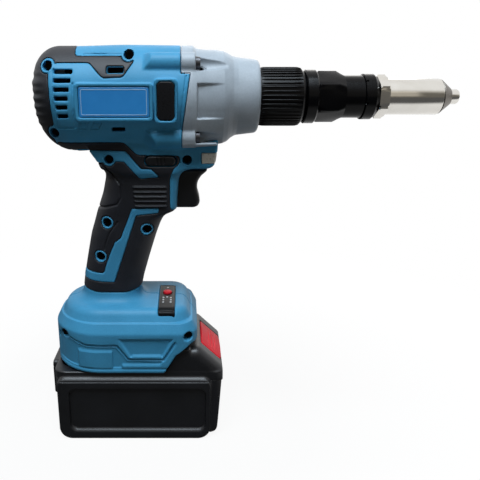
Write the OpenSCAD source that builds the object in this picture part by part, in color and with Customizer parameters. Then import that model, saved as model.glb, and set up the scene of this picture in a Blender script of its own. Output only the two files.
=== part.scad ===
// Battery rivet tool: a pistol tool on a slide battery that pulls blind rivets.
// Millimetres. +X points to the nose, +Y to the left side, +Z up.
// The origin lies on the base of the battery, below the handle.

// node to draw, or all

/* [Overall] */
// height of the rivet axis above the base
axis_height = 240; // [236:1:250]
// wall of the moulded housing
wall = 2.6; // [2.4:0.1:2.8]
// thickness of the soft trims and grips
soft_t = 1.6; // [1.2:0.1:1.7]
// room round pieces that move
move_gap = 0.4; // [0.3:0.05:0.5]
// room between fixed pieces that seat in each other
seat_gap = 0.05; // [0.03:0.01:0.08]

/* [Barrel] */
// largest radius of the motor barrel
barrel_r = 33; // [32.5:0.5:34]
// how far the rear end lies behind the origin
barrel_rear = 64; // [62:1:68]
// where the housing meets the gearbox case, on the axis
joint_x = 33; // [32:0.5:34]
// lean of that joint, top forward
joint_tilt = 8; // [4:1:10]
// sideways place of the screw towers
tower_y = 21.5; // [21:0.5:23]
// place of the screw towers above and below the axis
tower_z = 22.5; // [22:0.5:24]
// radius of the screw towers
tower_r = 5.5; // [5:0.25:6]
// height of each cooling slot
vent_h = 2.2; // [1.6:0.1:2.8]
// length of the longest cooling slot
vent_len = 11; // [8:0.5:12]

/* [Side panels] */
// length of the side label
label_len = 43; // [38:1:44]
// height of the side label
label_h = 18; // [14:1:19]
// length of the side badge
badge_len = 11; // [9:0.5:12]
// height of the side badge
badge_h = 23; // [18:1:24]

/* [Gearbox case] */
// length of the gearbox case in front of the joint
gearbox_len = 47.5; // [46.5:0.5:49]
// radius of its shoulder
shoulder_r = 28.5; // [27.5:0.5:29]
// radius of its front ring
front_ring_r = 22.4; // [21.5:0.1:23]
// radius of the spigot inside the housing
spigot_r = 27.6; // [27:0.2:27.8]

/* [Nose] */
// length of the ribbed sleeve
sleeve_len = 28.3; // [27:0.1:31]
// radius of the ribbed sleeve
sleeve_r = 19; // [18.4:0.1:19.6]
// number of ribs round the sleeve
sleeve_ribs = 32; // [20:1:36]
// length of the collar
collar_len = 8.2; // [7:0.2:11]
// radius of the collar
collar_r = 17.3; // [16.8:0.1:17.8]
// length of the black hex
hex_len = 18.6; // [15:0.2:20]
// corner radius of the black hex
hex_r = 16.5; // [15.6:0.1:16.7]
// length of the neck
neck_len = 11.9; // [9.9:0.2:13.9]
// radius of the neck
neck_r = 13.7; // [13:0.1:14]
// length of the lock nut
lock_len = 10.9; // [9.9:0.2:13.9]
// radius of the lock nut
lock_r = 14.7; // [14.2:0.1:15.2]
// length of the bright hex
bright_hex_len = 6.4; // [6:0.1:8]
// corner radius of the bright hex
bright_hex_r = 14.2; // [13.8:0.1:14.6]
// length of the bright tube
tube_len = 35.6; // [34:0.2:38]
// radius of the bright tube
tube_r = 11.6; // [11.1:0.1:12]
// length of the nose cone
cone_len = 7.3; // [6:0.1:8]
// length of the tip in front of the cone
tip_len = 5.8; // [4:0.2:6.4]
// radius of the tip
tip_r = 4.8; // [4.3:0.1:5.2]
// radius of the mandrel hole in the nosepiece
mandrel_r = 1.7; // [1.3:0.1:1.9]

/* [Motor] */
// radius of the stator
stator_r = 22; // [21:0.5:22.4]
// length of the stator core
stator_len = 26; // [22:1:27]
// radius of the rotor
rotor_r = 12; // [10:0.5:12.5]
// radius of the motor shaft
shaft_r = 3; // [2.5:0.1:3.4]
// radius of the fan
fan_r = 23.5; // [20:0.5:24]
// length of the fan
fan_len = 8; // [6:0.5:8.5]
// outer radius of the motor bearings
bearing_r = 9.5; // [8.5:0.5:10]
// width of the motor bearings
bearing_w = 6; // [5:0.5:6]

/* [Planetary stage] */
// module of the teeth
gear_module = 1; // [0.95:0.01:1.02]
// teeth on the sun pinion
sun_teeth = 12; // [12:3:12]
// teeth on each planet, an odd number
planet_teeth = 15; // [15:6:15]
// width of the teeth
gear_w = 10; // [8:0.5:10.5]
// pressure angle of the teeth
pressure_angle = 25; // [23:1:27]
// thinning of each tooth for running play
tooth_play = 0.12; // [0.1:0.01:0.16]

/* [Pull train] */
// stroke of the pulling head
stroke = 20; // [16:0.5:21]
// radius of the ball screw
screw_r = 6.5; // [6:0.1:6.8]
// pitch of the screw grooves
screw_pitch = 5; // [4:0.5:6]
// outer radius of the ball nut
nut_r = 12.5; // [11.5:0.1:13]
// length of the ball nut
nut_len = 30; // [27:0.5:30]
// radius of the pull rod
rod_r = 5.5; // [5:0.1:5.8]
// outer radius of the jaw case
jaw_case_r = 8.8; // [8.4:0.1:9]
// length of the jaw case
jaw_case_len = 50; // [48:1:52]
// half angle of the jaw cone
jaw_cone = 7; // [6:0.5:7.5]
// length of the jaws
jaw_len = 16; // [13:0.5:17]
// travel of the jaws in the cone
jaw_feed = 2.5; // [2:0.1:2.7]

/* [Handle] */
// width of the handle
handle_w = 33; // [31:0.5:35]
// width of the neck above it
neck_w = 35; // [34:0.5:36]

/* [Trigger] */
// width of the trigger
trigger_w = 17; // [14:0.5:18]
// height of the trigger
trigger_h = 26; // [23:0.5:27]
// travel of the trigger
trigger_travel = 6.5; // [5:0.5:7]
// length of the direction selector
selector_len = 20; // [16:0.5:21]
// height of the direction selector
selector_h = 6.4; // [5:0.2:6.6]
// how far the selector stands out on each side
selector_out = 3; // [2.5:0.25:4]

/* [Foot] */
// rear end of the foot behind the origin
foot_rear = 63; // [62:0.5:65]
// front end of the foot
foot_front = 40; // [39:0.5:41]
// how far the foot stands out beyond the battery on each side
foot_over = 0; // [-0.25:0.05:0.5]
// height of the top of the foot
foot_top = 98; // [97:0.5:102]
// height of the lower edge of the foot
foot_low = 54; // [53.5:0.25:54.5]
// radius of the rear corners of the foot
foot_round = 34; // [31:0.5:35]
// width of the control panel
panel_w = 11.5; // [10:0.5:13]
// length of the control panel
panel_len = 48; // [40:1:50]
// radius of the panel button
panel_button_r = 3.2; // [2.6:0.1:3.6]

/* [Battery] */
// rear end of the battery behind the origin
battery_rear = 65.5; // [64:0.5:68]
// front end of the battery
battery_front = 59.5; // [58.5:0.5:62]
// width of the battery
battery_w = 75; // [74:0.5:78]
// height of the split between the two battery cases
battery_split = 46.5; // [46.25:0.25:47]
// height of the deck that the foot slides over
battery_deck = 53; // [52.5:0.25:53.3]
// height of the rail block
block_top = 70; // [69:0.25:71]
// wall of the battery cases
battery_wall = 2.2; // [1.8:0.1:2.4]
// radius of a cell
cell_r = 9.2; // [8.8:0.1:9.3]
// room and wall between the cell ends and the outside of the battery
cell_side = 5; // [4.5:0.25:6.5]
// cells in each layer
cells_in_row = 5; // [4:1:5]
// width of the release button
button_w = 33; // [28:1:36]
// travel of the release button
button_travel = 3; // [2:0.25:3.2]

/* [Fasteners] */
// radius of the clamshell screw heads
head_r = 2.8; // [2.4:0.1:3]
// radius of the clamshell screw shanks
shank_r = 1.5; // [1.2:0.1:1.7]
// radius of the gearbox screw heads
case_head_r = 3.5; // [3:0.1:3.8]
// radius of the gearbox screw shanks
case_shank_r = 1.9; // [1.6:0.1:2]

/* [Hidden] */
$fn = 64;
axis_z = axis_height;
gearbox_front = joint_x + gearbox_len;
sleeve_front = gearbox_front + sleeve_len;
collar_front = sleeve_front + collar_len;
hex_front = collar_front + hex_len;
neck_front = hex_front + neck_len;
lock_front = neck_front + lock_len;
bright_hex_front = lock_front + bright_hex_len;
tube_front = bright_hex_front + tube_len;
cone_front = tube_front + cone_len;
tip_front = cone_front + tip_len;

// motor and gear stack, placed from the joint backwards
bracket_front = joint_x - 18.5;
bracket_rear = bracket_front - 6;
ring_rear = bracket_front + seat_gap;
gear_rear = bracket_front + 1.6;
gear_front = gear_rear + gear_w;
ring_front = gear_front + 1.2;
carrier_rear = ring_front + 0.6;
carrier_t = 4.5;
nut_rear = carrier_rear + carrier_t;
nut_front = nut_rear + nut_len;
thrust_w = 6;
thrust_rear = nut_front + 0.1;
case_floor = thrust_rear + thrust_w + seat_gap;
nut_bearing_rear = nut_rear + 4;
nut_bearing_w = 7;
nut_bearing_r = 18.5;
ring_teeth = sun_teeth + 2 * planet_teeth;
planet_arm = gear_module * (sun_teeth + planet_teeth) / 2;
ring_r = gear_module * ring_teeth / 2 + 1.25 * gear_module + 2.2;
stator_rear = -26;
stator_front = stator_rear + stator_len;
rear_bearing_rear = -50;
fan_rear = -43.4;

// pull train at rest, front end of the stroke
screw_rear = nut_front - 10;
spigot_len = 10;
guide_rear = gearbox_front - spigot_len + 6 + stroke;
guide_len = 6.5;
guide_r = 12;
jaw_case_front = tube_front - 4.5;
jaw_case_rear = jaw_case_front - jaw_case_len;
barrel_floor = tube_front - 4;
shank_rear = jaw_case_front - 1.8;
jaws_front = shank_rear - 0.3;
jaws_rear = jaws_front - jaw_len;
cone_mouth_r = 4.6;
case_bore_r = cone_mouth_r + (jaw_case_front - 1 - jaws_rear) * tan(jaw_cone);
pusher_len = 12;

// handle sections from the foot to the neck: share of the height, rear X, front X, share of the
// half width, front corner radius
neck_z = axis_z - barrel_r;
half_w = handle_w / 2;
handle_rows = [
    [0, -45.5, -2.5, 1.03, 14], [0.16, -41, 1.6, 0.97, 14], [0.3, -37.2, 6.6, 0.98, 14],
    [0.45, -33.8, 12.2, 1, 13], [0.53, -31, 16, 1, 12], [0.58, -29.6, 21.5, 1, 10],
    [0.625, -28, 28.6, 1.02, 6], [0.72, -25.4, 30.6, 1.04, 5], [0.85, -22.8, 31.6, 1.06, 5],
    [0.93, -24, 32, 1.06, 5]
];
trigger_top = axis_z - 49.4;
trigger_low = trigger_top - trigger_h;
trigger_back = 24.6;
switch_front = 13.5;
switch_mid = (trigger_top + trigger_low) / 2;
selector_z = axis_z - 39.8;
selector_x = 16.4;
lens_z = axis_z - 40;
bay_top = block_top + 4.2;
bay_half = battery_w / 2 - 3.3;
rail_low = battery_deck + 3.6;
rail_high = rail_low + 4;
panel_x = 19.5;
panel_y = -4;
foot_w = battery_w + 2 * foot_over;
cell_len = battery_w - 2 * cell_side;
cell_pitch = 2 * cell_r + 1.4;
cell_x = (battery_front - battery_rear) / 2;
slope_start = foot_front + 2.5;
slope_drop = 16;
slope = atan2(slope_drop, battery_front - slope_start);

// clamshell screws: X, Z, distance of the head seat from the middle
screw_places = [
    [-50, axis_z + 0.594 * barrel_r, 0.515 * barrel_r], [-2, axis_z + 0.824 * barrel_r, 0.394 * barrel_r],
    [-49.5, axis_z - 0.618 * barrel_r, 0.485 * barrel_r],
    [-17.5, axis_z - 38.8, neck_w / 2 - 5], [33.6, axis_z - 39.4, neck_w / 2 - 6],
    [-20.5, axis_z - 81.6, half_w - 5],
    [6.5, axis_z - 86.4, half_w - 5.5], [-26.3, axis_z - 105.8, half_w - 5.5],
    [34, foot_top - 14.5, foot_w / 2 - 8.5], [-52, foot_top - 17, foot_w / 2 - 17.5]
];
battery_screw_places = [for (x = [-battery_rear + 7.4, battery_front - 6.4], s = [-1, 1])
    [x, s * (battery_w / 2 - 8.5)]];

function handle_z(k) = foot_top + k * (neck_z - foot_top);

// involute gear outline with a tooth on the local X axis
function involute(a) = tan(a) * 180 / PI - a;
function flank(r, rb, half, base) = half + involute(base) - involute(acos(min(1, rb / r)));
function gear_outline(teeth, add, ded, thin) =
    let (
        r = gear_module * teeth / 2,
        rb = r * cos(pressure_angle),
        ra = r + add,
        rf = r - ded,
        r0 = max(rf, rb),
        half = 90 / teeth - thin / 2 / r * 180 / PI,
        radii = [for (i = [0:3]) r0 + (ra - r0) * i / 3],
        low = flank(r0, rb, half, pressure_angle)
    )
    [for (t = [0:teeth - 1]) let (c = 360 * t / teeth)
        each concat(
            [[rf, c - low]],
            [for (i = [0:3]) [radii[i], c - flank(radii[i], rb, half, pressure_angle)]],
            [for (i = [3:-1:0]) [radii[i], c + flank(radii[i], rb, half, pressure_angle)]],
            [[rf, c + low]]
        )];
function polar(list) = [for (p = list) [p[0] * cos(p[1]), p[0] * sin(p[1])]];

// local Z along +X, local X along +Y, local Y along +Z, on the rivet axis
module on_axis(x) {
    translate([x, 0, axis_z]) rotate([90, 0, 90]) children();
}
module rod(x0, x1, r) {
    on_axis(x0) cylinder(r = r, h = x1 - x0);
}
module pipe(x0, x1, ro, ri) {
    difference() {
        rod(x0, x1, ro);
        rod(x0 - 1, x1 + 1, ri);
    }
}
// solid turned about the rivet axis from points of X and radius
module turned(points, n = 64) {
    on_axis(0) rotate_extrude($fn = n) polygon([for (p = points) [p[1], p[0]]]);
}
// flat outline in X and Z, drawn out between two values of Y
module across(y0, y1) {
    translate([0, y1, 0]) rotate([90, 0, 0]) linear_extrude(y1 - y0) children();
}
module block(x0, x1, y0, y1, z0, z1) {
    translate([x0, y0, z0]) cube([x1 - x0, y1 - y0, z1 - z0]);
}
// rounded plan between two values of X, with its own rear and front corner radius
module plan(x0, x1, half, r0, r1) {
    for (s = [-1, 1]) {
        translate([x0 + r0, s * (half - r0)]) circle(r = r0);
        translate([x1 - r1, s * (half - r1)]) circle(r = r1);
    }
    translate([x0 + r0, -half]) square([x1 - r1 - x0 - r0, 2 * half]);
    translate([x0, r0 - half]) square([r0, 2 * (half - r0)]);
    translate([x1 - r1, r1 - half]) square([r1, 2 * (half - r1)]);
}
module half_space(side) {
    translate([-150, side < 0 ? -120 : 0, -10]) cube([400, 120, 400]);
}
// everything in front of the slanted joint
module ahead_of_joint(shift) {
    translate([joint_x + shift, 0, axis_z]) rotate([0, joint_tilt, 0])
        translate([0, -60, -50]) cube([160, 120, 110]);
}
// round wire wound on local Z
module coil(r, wire, height, turns) {
    steps = 14;
    sides = 6;
    n = round(turns * steps);
    rings = [for (i = [0:n]) [for (j = [0:sides - 1])
        let (a = 360 * i / steps, b = 360 * j / sides, q = r + wire * cos(b))
        [q * cos(a), q * sin(a), wire + (height - 2 * wire) * i / n + wire * sin(b)]]];
    points = [for (ring = rings) each ring];
    walls = [for (i = [0:n - 1], j = [0:sides - 1])
        let (k = (j + 1) % sides)
        each [[i * sides + j, i * sides + k, (i + 1) * sides + k],
              [i * sides + j, (i + 1) * sides + k, (i + 1) * sides + j]]];
    cap0 = [[for (j = [sides - 1:-1:0]) j]];
    cap1 = [[for (j = [0:sides - 1]) n * sides + j]];
    polyhedron(points, concat(cap0, walls, cap1));
}

// outer form of the tool body, grown by g

module barrel_form(g) {
    rear = -barrel_rear - g;
    turned([
        [rear, 0], [rear, 0.36 * barrel_r], [rear + 2, 0.6 * barrel_r + g],
        [rear + 6, 0.76 * barrel_r + g], [rear + 12, 0.9 * barrel_r + g],
        [rear + 20, 0.985 * barrel_r + g], [rear + 27, barrel_r + g],
        [joint_x + 14, 0.97 * barrel_r + g], [joint_x + 14, 0]
    ], 48);
}
module towers_form(g) {
    for (y = [-1, 1], z = [-1, 1])
        translate([9 - g, y * tower_y, axis_z + z * tower_z]) rotate([0, 90, 0])
            cylinder(r = tower_r + g, h = joint_x + 2 + g, $fn = 24);
}
module handle_section(row, g) {
    b = half_w * row[3];
    translate([row[1] + b, 0, handle_z(row[0])]) cylinder(r = b + g, h = 0.2, $fn = 28);
    for (s = [-1, 1])
        translate([row[2] - row[4], s * (b - row[4]), handle_z(row[0])])
            cylinder(r = row[4] + g, h = 0.2, $fn = 20);
}
module handle_form(g) {
    for (i = [0:len(handle_rows) - 2])
        hull() {
            handle_section(handle_rows[i], g);
            handle_section(handle_rows[i + 1], g);
        }
}
module neck_form(g) {
    across(-neck_w / 2 - g, neck_w / 2 + g) offset(delta = g) polygon([
        [-34, axis_z - 24], [-30, axis_z - 34], [-25, axis_z - 41], [-23, axis_z - 48],
        [31.5, axis_z - 48], [43, axis_z - 48], [47.5, axis_z - 45.5], [51, axis_z - 42],
        [53.5, axis_z - 34], [54.5, axis_z - 20], [45, axis_z - 15], [-10, axis_z - 15]
    ]);
}
module foot_layer(z, inset, g) {
    half = foot_w / 2 - inset + g;
    r = min(foot_round, half - 0.5);
    for (s = [-1, 1]) {
        translate([-foot_rear + inset + r - g, s * (half - r), z])
            cylinder(r = r, h = 0.2, $fn = 48);
        translate([foot_front - inset - 9 + g, s * (half - 9), z])
            cylinder(r = 9, h = 0.2, $fn = 20);
    }
}
module foot_form(g) {
    hull() {
        foot_layer(foot_low, 0.6, g);
        foot_layer(foot_top - 14.5, 0, g);
        foot_layer(foot_top - 7.6 + g / 2, 3.5, g);
        foot_layer(foot_top - 3.4 + g, 9, g);
        foot_layer(foot_top - 0.8 + g, 13, g);
        foot_layer(foot_top - 0.2 + g, 16, g);
    }
    hull() {
        handle_section([0, -48, 4, 1.25, 16], g);
        handle_section([0.12, -42, 0.6, 1, 14], g);
    }
}
module body_form(g) {
    difference() {
        union() {
            barrel_form(g);
            towers_form(g);
        }
        ahead_of_joint(-seat_gap);
    }
    neck_form(g);
    handle_form(g);
    foot_form(g);
}

// outlines of the soft pieces in X and Z
module belly_outline() {
    polygon([
        [-51.8, axis_z - 27.7], [-7, axis_z - 27.7], [1, axis_z - 36], [29, axis_z - 36.3],
        [29, axis_z - 42], [23, axis_z - 48], [22.8, axis_z - 75], [34, handle_z(0.59)],
        [24, handle_z(0.5)], [14, handle_z(0.3)], [8, handle_z(0.1)], [-8, handle_z(0.085)],
        [-30, handle_z(0.1)], [-47, handle_z(0.14)], [-44, handle_z(0.3)], [-34, handle_z(0.85)],
        [-34, axis_z - 33], [-51.8, axis_z - 36]
    ]);
}
module upper_accent() {
    polygon([
        [-36, axis_z - 33.2], [-6.5, axis_z - 33.5], [3.5, axis_z - 45.2], [10.3, axis_z - 45.4],
        [15.4, axis_z - 50.8], [2.6, axis_z - 52], [-7.4, axis_z - 40.4], [-13, axis_z - 40.2],
        [-36, axis_z - 43]
    ]);
}
module lower_accent() {
    polygon([
        [-3.5, handle_z(0.635)], [15, handle_z(0.64)], [14.3, handle_z(0.608)],
        [-0.8, handle_z(0.592)], [-17.3, handle_z(0.146)], [-36, handle_z(0.159)],
        [-36, handle_z(0.211)], [-24.5, handle_z(0.208)], [-20, handle_z(0.328)],
        [-15.8, handle_z(0.417)], [-11.7, handle_z(0.443)], [-4, handle_z(0.623)]
    ]);
}
module boss_outline(first, last, r) {
    for (i = [first:last])
        translate([screw_places[i][0], screw_places[i][1]]) circle(r = r, $fn = 16);
}
module grip_outline() {
    difference() {
        belly_outline();
        upper_accent();
        lower_accent();
        boss_outline(3, 7, 5);
        translate([selector_x - selector_len / 2 - 1, selector_z - selector_h / 2 - 1])
            square([selector_len + 2, selector_h + 2]);
    }
}
module rear_outline() {
    difference() {
        polygon([
            [-barrel_rear - 4, axis_z + 38], [-47, axis_z + 38], [-36, axis_z + 38],
            [-33, axis_z + 25.2], [-8, axis_z + 25.2], [1.5, axis_z + 22.5], [-5.5, axis_z + 12.5],
            [-18, axis_z + 12], [-26.5, axis_z + 21], [-47, axis_z + 21], [-51, axis_z + 15],
            [-49.5, axis_z - 15], [-52, axis_z - 22], [-52, axis_z - 38],
            [-barrel_rear - 4, axis_z - 38]
        ]);
        boss_outline(0, 2, 5.4);
        translate([-15, axis_z + 15]) square([9.5, 3.5]);
    }
}
// skin on one side inside the given outline
module soft_skin(side) {
    difference() {
        intersection() {
            body_form(0);
            across(-60, 60) children();
            half_space(side);
        }
        body_form(-soft_t);
    }
}
// room for such a skin
module soft_room() {
    difference() {
        across(-60, 60) children();
        body_form(-soft_t - seat_gap);
    }
}

// hollow of the housing
module housing_hollow() {
    difference() {
        barrel_form(-wall - soft_t);
        // stays for the rear bearing, the stator and the gearbox spigot
        pipe(rear_bearing_rear - 3, rear_bearing_rear - 0.4, barrel_r, shaft_r + 2);
        pipe(rear_bearing_rear - 0.5, rear_bearing_rear + bearing_w, bearing_r + 3,
            bearing_r + seat_gap);
        for (x = [stator_rear + 3, stator_front - 6])
            pipe(x, x + 2.6, barrel_r, stator_r + seat_gap);
        pipe(bracket_front + 4, bracket_front + 7, barrel_r, spigot_r + seat_gap);
    }
    difference() {
        intersection() {
            neck_form(-wall - soft_t);
            block(-60, 100, -60, 60, 0, axis_z - 31);
        }
        rod(-60, 20, barrel_r - 1);
    }
    handle_form(-wall - soft_t);
    // passage from the barrel down to the handle
    block(-12, 8, -9, 9, axis_z - 50, axis_z - 27);
    // passage for the wires from the handle to the foot
    block(-34, -18, -8, 8, foot_top - 7, foot_top + 5);
    // room for the electronics in the foot
    intersection() {
        foot_form(-wall - 0.4);
        block(-100, 100, -60, 60, bay_top + 2.5, foot_top + 20);
    }
}
// battery bay with its rails, open to the front and below
module bay_plan(gap) {
    plan(-foot_rear + 4.5 + gap, 100, bay_half - gap, foot_round - 4 - gap, 1);
}
module battery_bay() {
    difference() {
        linear_extrude(bay_top) bay_plan(0);
        for (s = [-1, 1])
            block(-foot_rear, foot_front - 2, s * bay_half - 4.4, s * bay_half + 4.4, rail_low, rail_high);
    }
    // slanted front edge of the side skirts
    across(-60, 60) polygon([
        [18, 0], [18, foot_low], [26, foot_low + 13.5], [36.5, foot_low + 21.2], [60, foot_low + 25],
        [60, 0]
    ]);
}
module screw_columns() {
    for (p = screw_places)
        translate([p[0], 0, p[1]]) rotate([90, 0, 0])
            cylinder(r = head_r + 1.2, h = 2 * p[2] + 7, center = true, $fn = 16);
}
module screw_holes() {
    for (p = screw_places)
        translate([p[0], 0, p[1]]) {
            translate([0, p[2] - 3.9, 0]) rotate([90, 0, 0])
                cylinder(r = shank_r + 2 * seat_gap, h = 2 * p[2], $fn = 16);
            translate([0, -p[2], 0]) rotate([90, 0, 0]) cylinder(r = head_r + 0.5, h = 40, $fn = 16);
        }
}
module side_frames() {
    for (s = [-1, 1])
        translate([0, s * (barrel_r - 2.2), 0]) {
            block(-34.8, -34.8 + label_len + 4.6, -3, 3,
                axis_z - label_h / 2 - 4.2, axis_z + label_h / 2 + 0.4);
            block(13.6, 13.6 + badge_len + 3, -3, 3,
                axis_z - badge_h / 2 - 3, axis_z + badge_h / 2 + 0.6);
        }
}
// plate on one side, or its pocket when grown
module side_plate(side, x, z, length, height, grow) {
    deep = grow > 0 ? 5 : 1.2;
    y0 = side < 0 ? -barrel_r + 0.6 - deep + grow : barrel_r - 0.6 - grow;
    translate([x - grow, y0, z - height / 2 - grow]) cube([length + 2 * grow, deep, height + 2 * grow]);
}
module label_solid(side, grow) {
    side_plate(side, -32.5, axis_z - 1.9, label_len, label_h, grow);
}
module badge_solid(side, grow) {
    side_plate(side, 15.1, axis_z - 1.2, badge_len, badge_h, grow);
}
module vents() {
    for (i = [0:5])
        translate([-46.5, -50, axis_z + 15 - 5.2 * i]) cube([vent_len - 0.7 * i, 100, vent_h]);
    translate([-15, -50, axis_z + 15]) cube([9.5, 100, 3.5]);
}
module trigger_opening() {
    w = trigger_w / 2 + move_gap;
    block(switch_front - 1, 60, -w, w, trigger_low - move_gap, trigger_top + move_gap);
}
module lens_outline(g) {
    offset(delta = g) polygon([
        [43.5, lens_z + 3.4], [56, lens_z + 3.4], [56, lens_z - 3.4], [43.5, lens_z - 3.4]
    ]);
}
module selector_outline(g) {
    r = selector_h / 2 + g;
    x = selector_len / 2 - selector_h / 2;
    for (s = [-1, 1])
        translate([selector_x + s * x, selector_z]) circle(r = r, $fn = 32);
    translate([selector_x - x, selector_z - r]) square([2 * x, 2 * r]);
}
// the panel follows the shoulder of the foot at its right end
module panel_solid(g) {
    low = panel_y - panel_len / 2 - g;
    high = panel_y + panel_len / 2 + g;
    top = foot_top + 0.3;
    base = foot_top - 1.2 - g;
    translate([panel_x + panel_w / 2 + g, 0, 0]) rotate([0, -90, 0]) linear_extrude(panel_w + 2 * g)
        polygon([
            [top, high], [top, low + 8], [top - 0.6, low + 3.8], [top - 2.7, low],
            [base - 2.7, low], [base - 0.6, low + 3.8], [base, low + 8], [base, high]
        ]);
}

module housing_half(side) {
    intersection() {
        half_space(side);
        difference() {
            union() {
                difference() {
                    union() {
                        body_form(0);
                        side_frames();
                    }
                    housing_hollow();
                }
                intersection() {
                    body_form(-0.5);
                    screw_columns();
                }
            }
            battery_bay();
            gearbox_outer(seat_gap);
            rod(bracket_rear, joint_x + 20, spigot_r + 0.3);
            screw_holes();
            vents();
            label_solid(side, seat_gap);
            badge_solid(side, seat_gap);
            trigger_opening();
            // slots for the trigger's flange, the selector, the lens and its board
            block(switch_front - 1, 28.6, -trigger_w / 2 - 2.6, trigger_w / 2 + 2.6,
                trigger_low - 2, trigger_top + 2);
            across(-60, 60) selector_outline(move_gap);
            across(-60, 60) lens_outline(seat_gap);
            block(41.6, 44, -10, 10, lens_z - 4.2, lens_z + 4.2);
            panel_solid(seat_gap);
            translate([panel_x, panel_y + 6, foot_top - 10])
                cylinder(r = panel_button_r + 1.4, h = 12, $fn = 20);
            // window for the terminal block
            block(-foot_rear + 5, -44, -17, 17, bay_top - 1, bay_top + 4);
            // seats of the gearbox screws
            for (y = [-1, 1], z = [-1, 1])
                translate([15, y * tower_y, axis_z + z * tower_z]) rotate([0, 90, 0])
                    cylinder(r = case_shank_r + 2 * seat_gap, h = 40, $fn = 16);
            soft_room() {
                grip_outline();
                rear_outline();
            }
        }
    }
}
module housing_right() {
    color("RoyalBlue") housing_half(-1);
}
module housing_left() {
    color("RoyalBlue") housing_half(1);
}
module housing_screws() {
    color("DimGray") for (p = screw_places)
        translate([p[0], -p[2], p[1]]) rotate([-90, 0, 0]) {
            difference() {
                translate([0, 0, -2]) cylinder(r = head_r, h = 2);
                translate([0, 0, -2.1]) cylinder(r = head_r * 0.45, h = 1.3, $fn = 6);
            }
            cylinder(r = shank_r, h = 2 * p[2] - 4);
        }
}
module rear_trim_right() {
    color("Black") soft_skin(-1) rear_outline();
}
module rear_trim_left() {
    color("Black") soft_skin(1) rear_outline();
}
module grip(side) {
    difference() {
        soft_skin(side) grip_outline();
        trigger_opening();
    }
}
module grip_right() {
    color("Black") grip(-1);
}
module grip_left() {
    color("Black") grip(1);
}
module side_label_right() {
    color("CornflowerBlue") label_solid(-1, 0);
}
module side_label_left() {
    color("CornflowerBlue") label_solid(1, 0);
}
module side_badge_right() {
    color("Black") badge_solid(-1, 0);
}
module side_badge_left() {
    color("Black") badge_solid(1, 0);
}

// outer form of the gearbox case in front of the joint, grown by g
module gearbox_outer(g) {
    intersection() {
        union() {
            turned([
                [joint_x - 8, 0], [joint_x - 8, 0.965 * barrel_r + g],
                [joint_x + 6, 0.92 * barrel_r + g], [joint_x + 24, shoulder_r + g],
                [joint_x + 26, shoulder_r - 0.6 + g], [joint_x + 30.5, front_ring_r + 2.3 + g],
                [gearbox_front - 1.5, front_ring_r + g], [gearbox_front, front_ring_r - 1.5 + g],
                [gearbox_front, 0]
            ]);
            for (y = [-1, 1], z = [-1, 1])
                translate([joint_x - 8, y * tower_y, axis_z + z * tower_z])
                    rotate([0, 90, 0]) cylinder(r = tower_r + g, h = 14 + g);
        }
        ahead_of_joint(0);
    }
}
// grey cast case of the gears and the nut
module gearbox_case() {
    color("Gray") difference() {
        union() {
            gearbox_outer(0);
            rod(bracket_front + seat_gap, joint_x + 6, spigot_r);
        }
        // room for ring gear, carrier, nut and bearings
        rod(0, ring_front + seat_gap, ring_r + seat_gap);
        rod(0, nut_bearing_rear, ring_r - 2.5);
        rod(0, nut_bearing_rear + nut_bearing_w + seat_gap, nut_bearing_r + seat_gap);
        rod(0, case_floor, 17.6);
        rod(0, gearbox_front + 1, 14 + seat_gap);
        for (y = [-1, 1], z = [-1, 1])
            translate([0, y * tower_y, axis_z + z * tower_z]) rotate([0, 90, 0]) {
                cylinder(r = case_shank_r + 0.2, h = joint_x + 20);
                translate([0, 0, joint_x + 6]) cylinder(r = case_head_r + 0.7, h = 30);
            }
    }
}
module gearbox_screws() {
    color("Silver") for (y = [-1, 1], z = [-1, 1])
        translate([joint_x + 6, y * tower_y, axis_z + z * tower_z]) rotate([0, 90, 0]) {
            difference() {
                cylinder(r = case_head_r, h = 2.8);
                translate([0, 0, 1.4]) cylinder(r = case_head_r * 0.5, h = 2, $fn = 6);
            }
            translate([0, 0, -joint_x + 11]) cylinder(r = case_shank_r, h = joint_x - 11);
        }
}
module work_light_lens() {
    color("White") intersection() {
        across(-60, 60) lens_outline(0);
        neck_form(0);
    }
}
// room round the screw columns
module screw_room() {
    for (p = screw_places)
        translate([p[0], 0, p[1]]) rotate([90, 0, 0]) cylinder(r = head_r + 2, h = 90, center = true);
}
module circuit_boards() {
    color("Green") {
        block(41.9, 43.4, -9, 9, lens_z - 3.8, lens_z + 3.8);
        difference() {
            block(-40, 30, -24, 24, bay_top + 2.6, bay_top + 4.2);
            screw_room();
        }
    }
}

// trigger with a flange behind the housing wall and a stem into the switch
module trigger() {
    color("DimGray") difference() {
        union() {
            across(-trigger_w / 2, trigger_w / 2) polygon([
                [trigger_back, trigger_top], [46, trigger_top], [45.6, trigger_top - 1.4],
                [42, trigger_top - 5.2], [40.3, trigger_top - 9], [40.1, trigger_top - 14],
                [41.2, trigger_top - 19], [42.4, trigger_low + 3.6], [41.8, trigger_low + 1.2],
                [39.6, trigger_low], [trigger_back, trigger_low]
            ]);
            block(trigger_back, trigger_back + 2.6, -trigger_w / 2 - 2, trigger_w / 2 + 2,
                trigger_low, trigger_top);
            translate([switch_front - 2, 0, switch_mid]) rotate([0, 90, 0])
                cylinder(r = 3, h = trigger_back - switch_front + 3);
        }
        block(trigger_back + 5, 37, -trigger_w / 2 + 2.4, trigger_w / 2 - 2.4, trigger_low - 1,
            trigger_top - 8);
    }
}
module trigger_switch() {
    color("Black") difference() {
        union() {
            block(-13.6, switch_front, -10.5, 10.5, switch_mid - 11.5, switch_mid + 11.5);
            block(-10, 6, -7, 7, switch_mid + 11.4, switch_mid + 15);
        }
        translate([switch_front - 12, 0, switch_mid]) rotate([0, 90, 0]) cylinder(r = 3 + move_gap, h = 20);
    }
}
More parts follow.
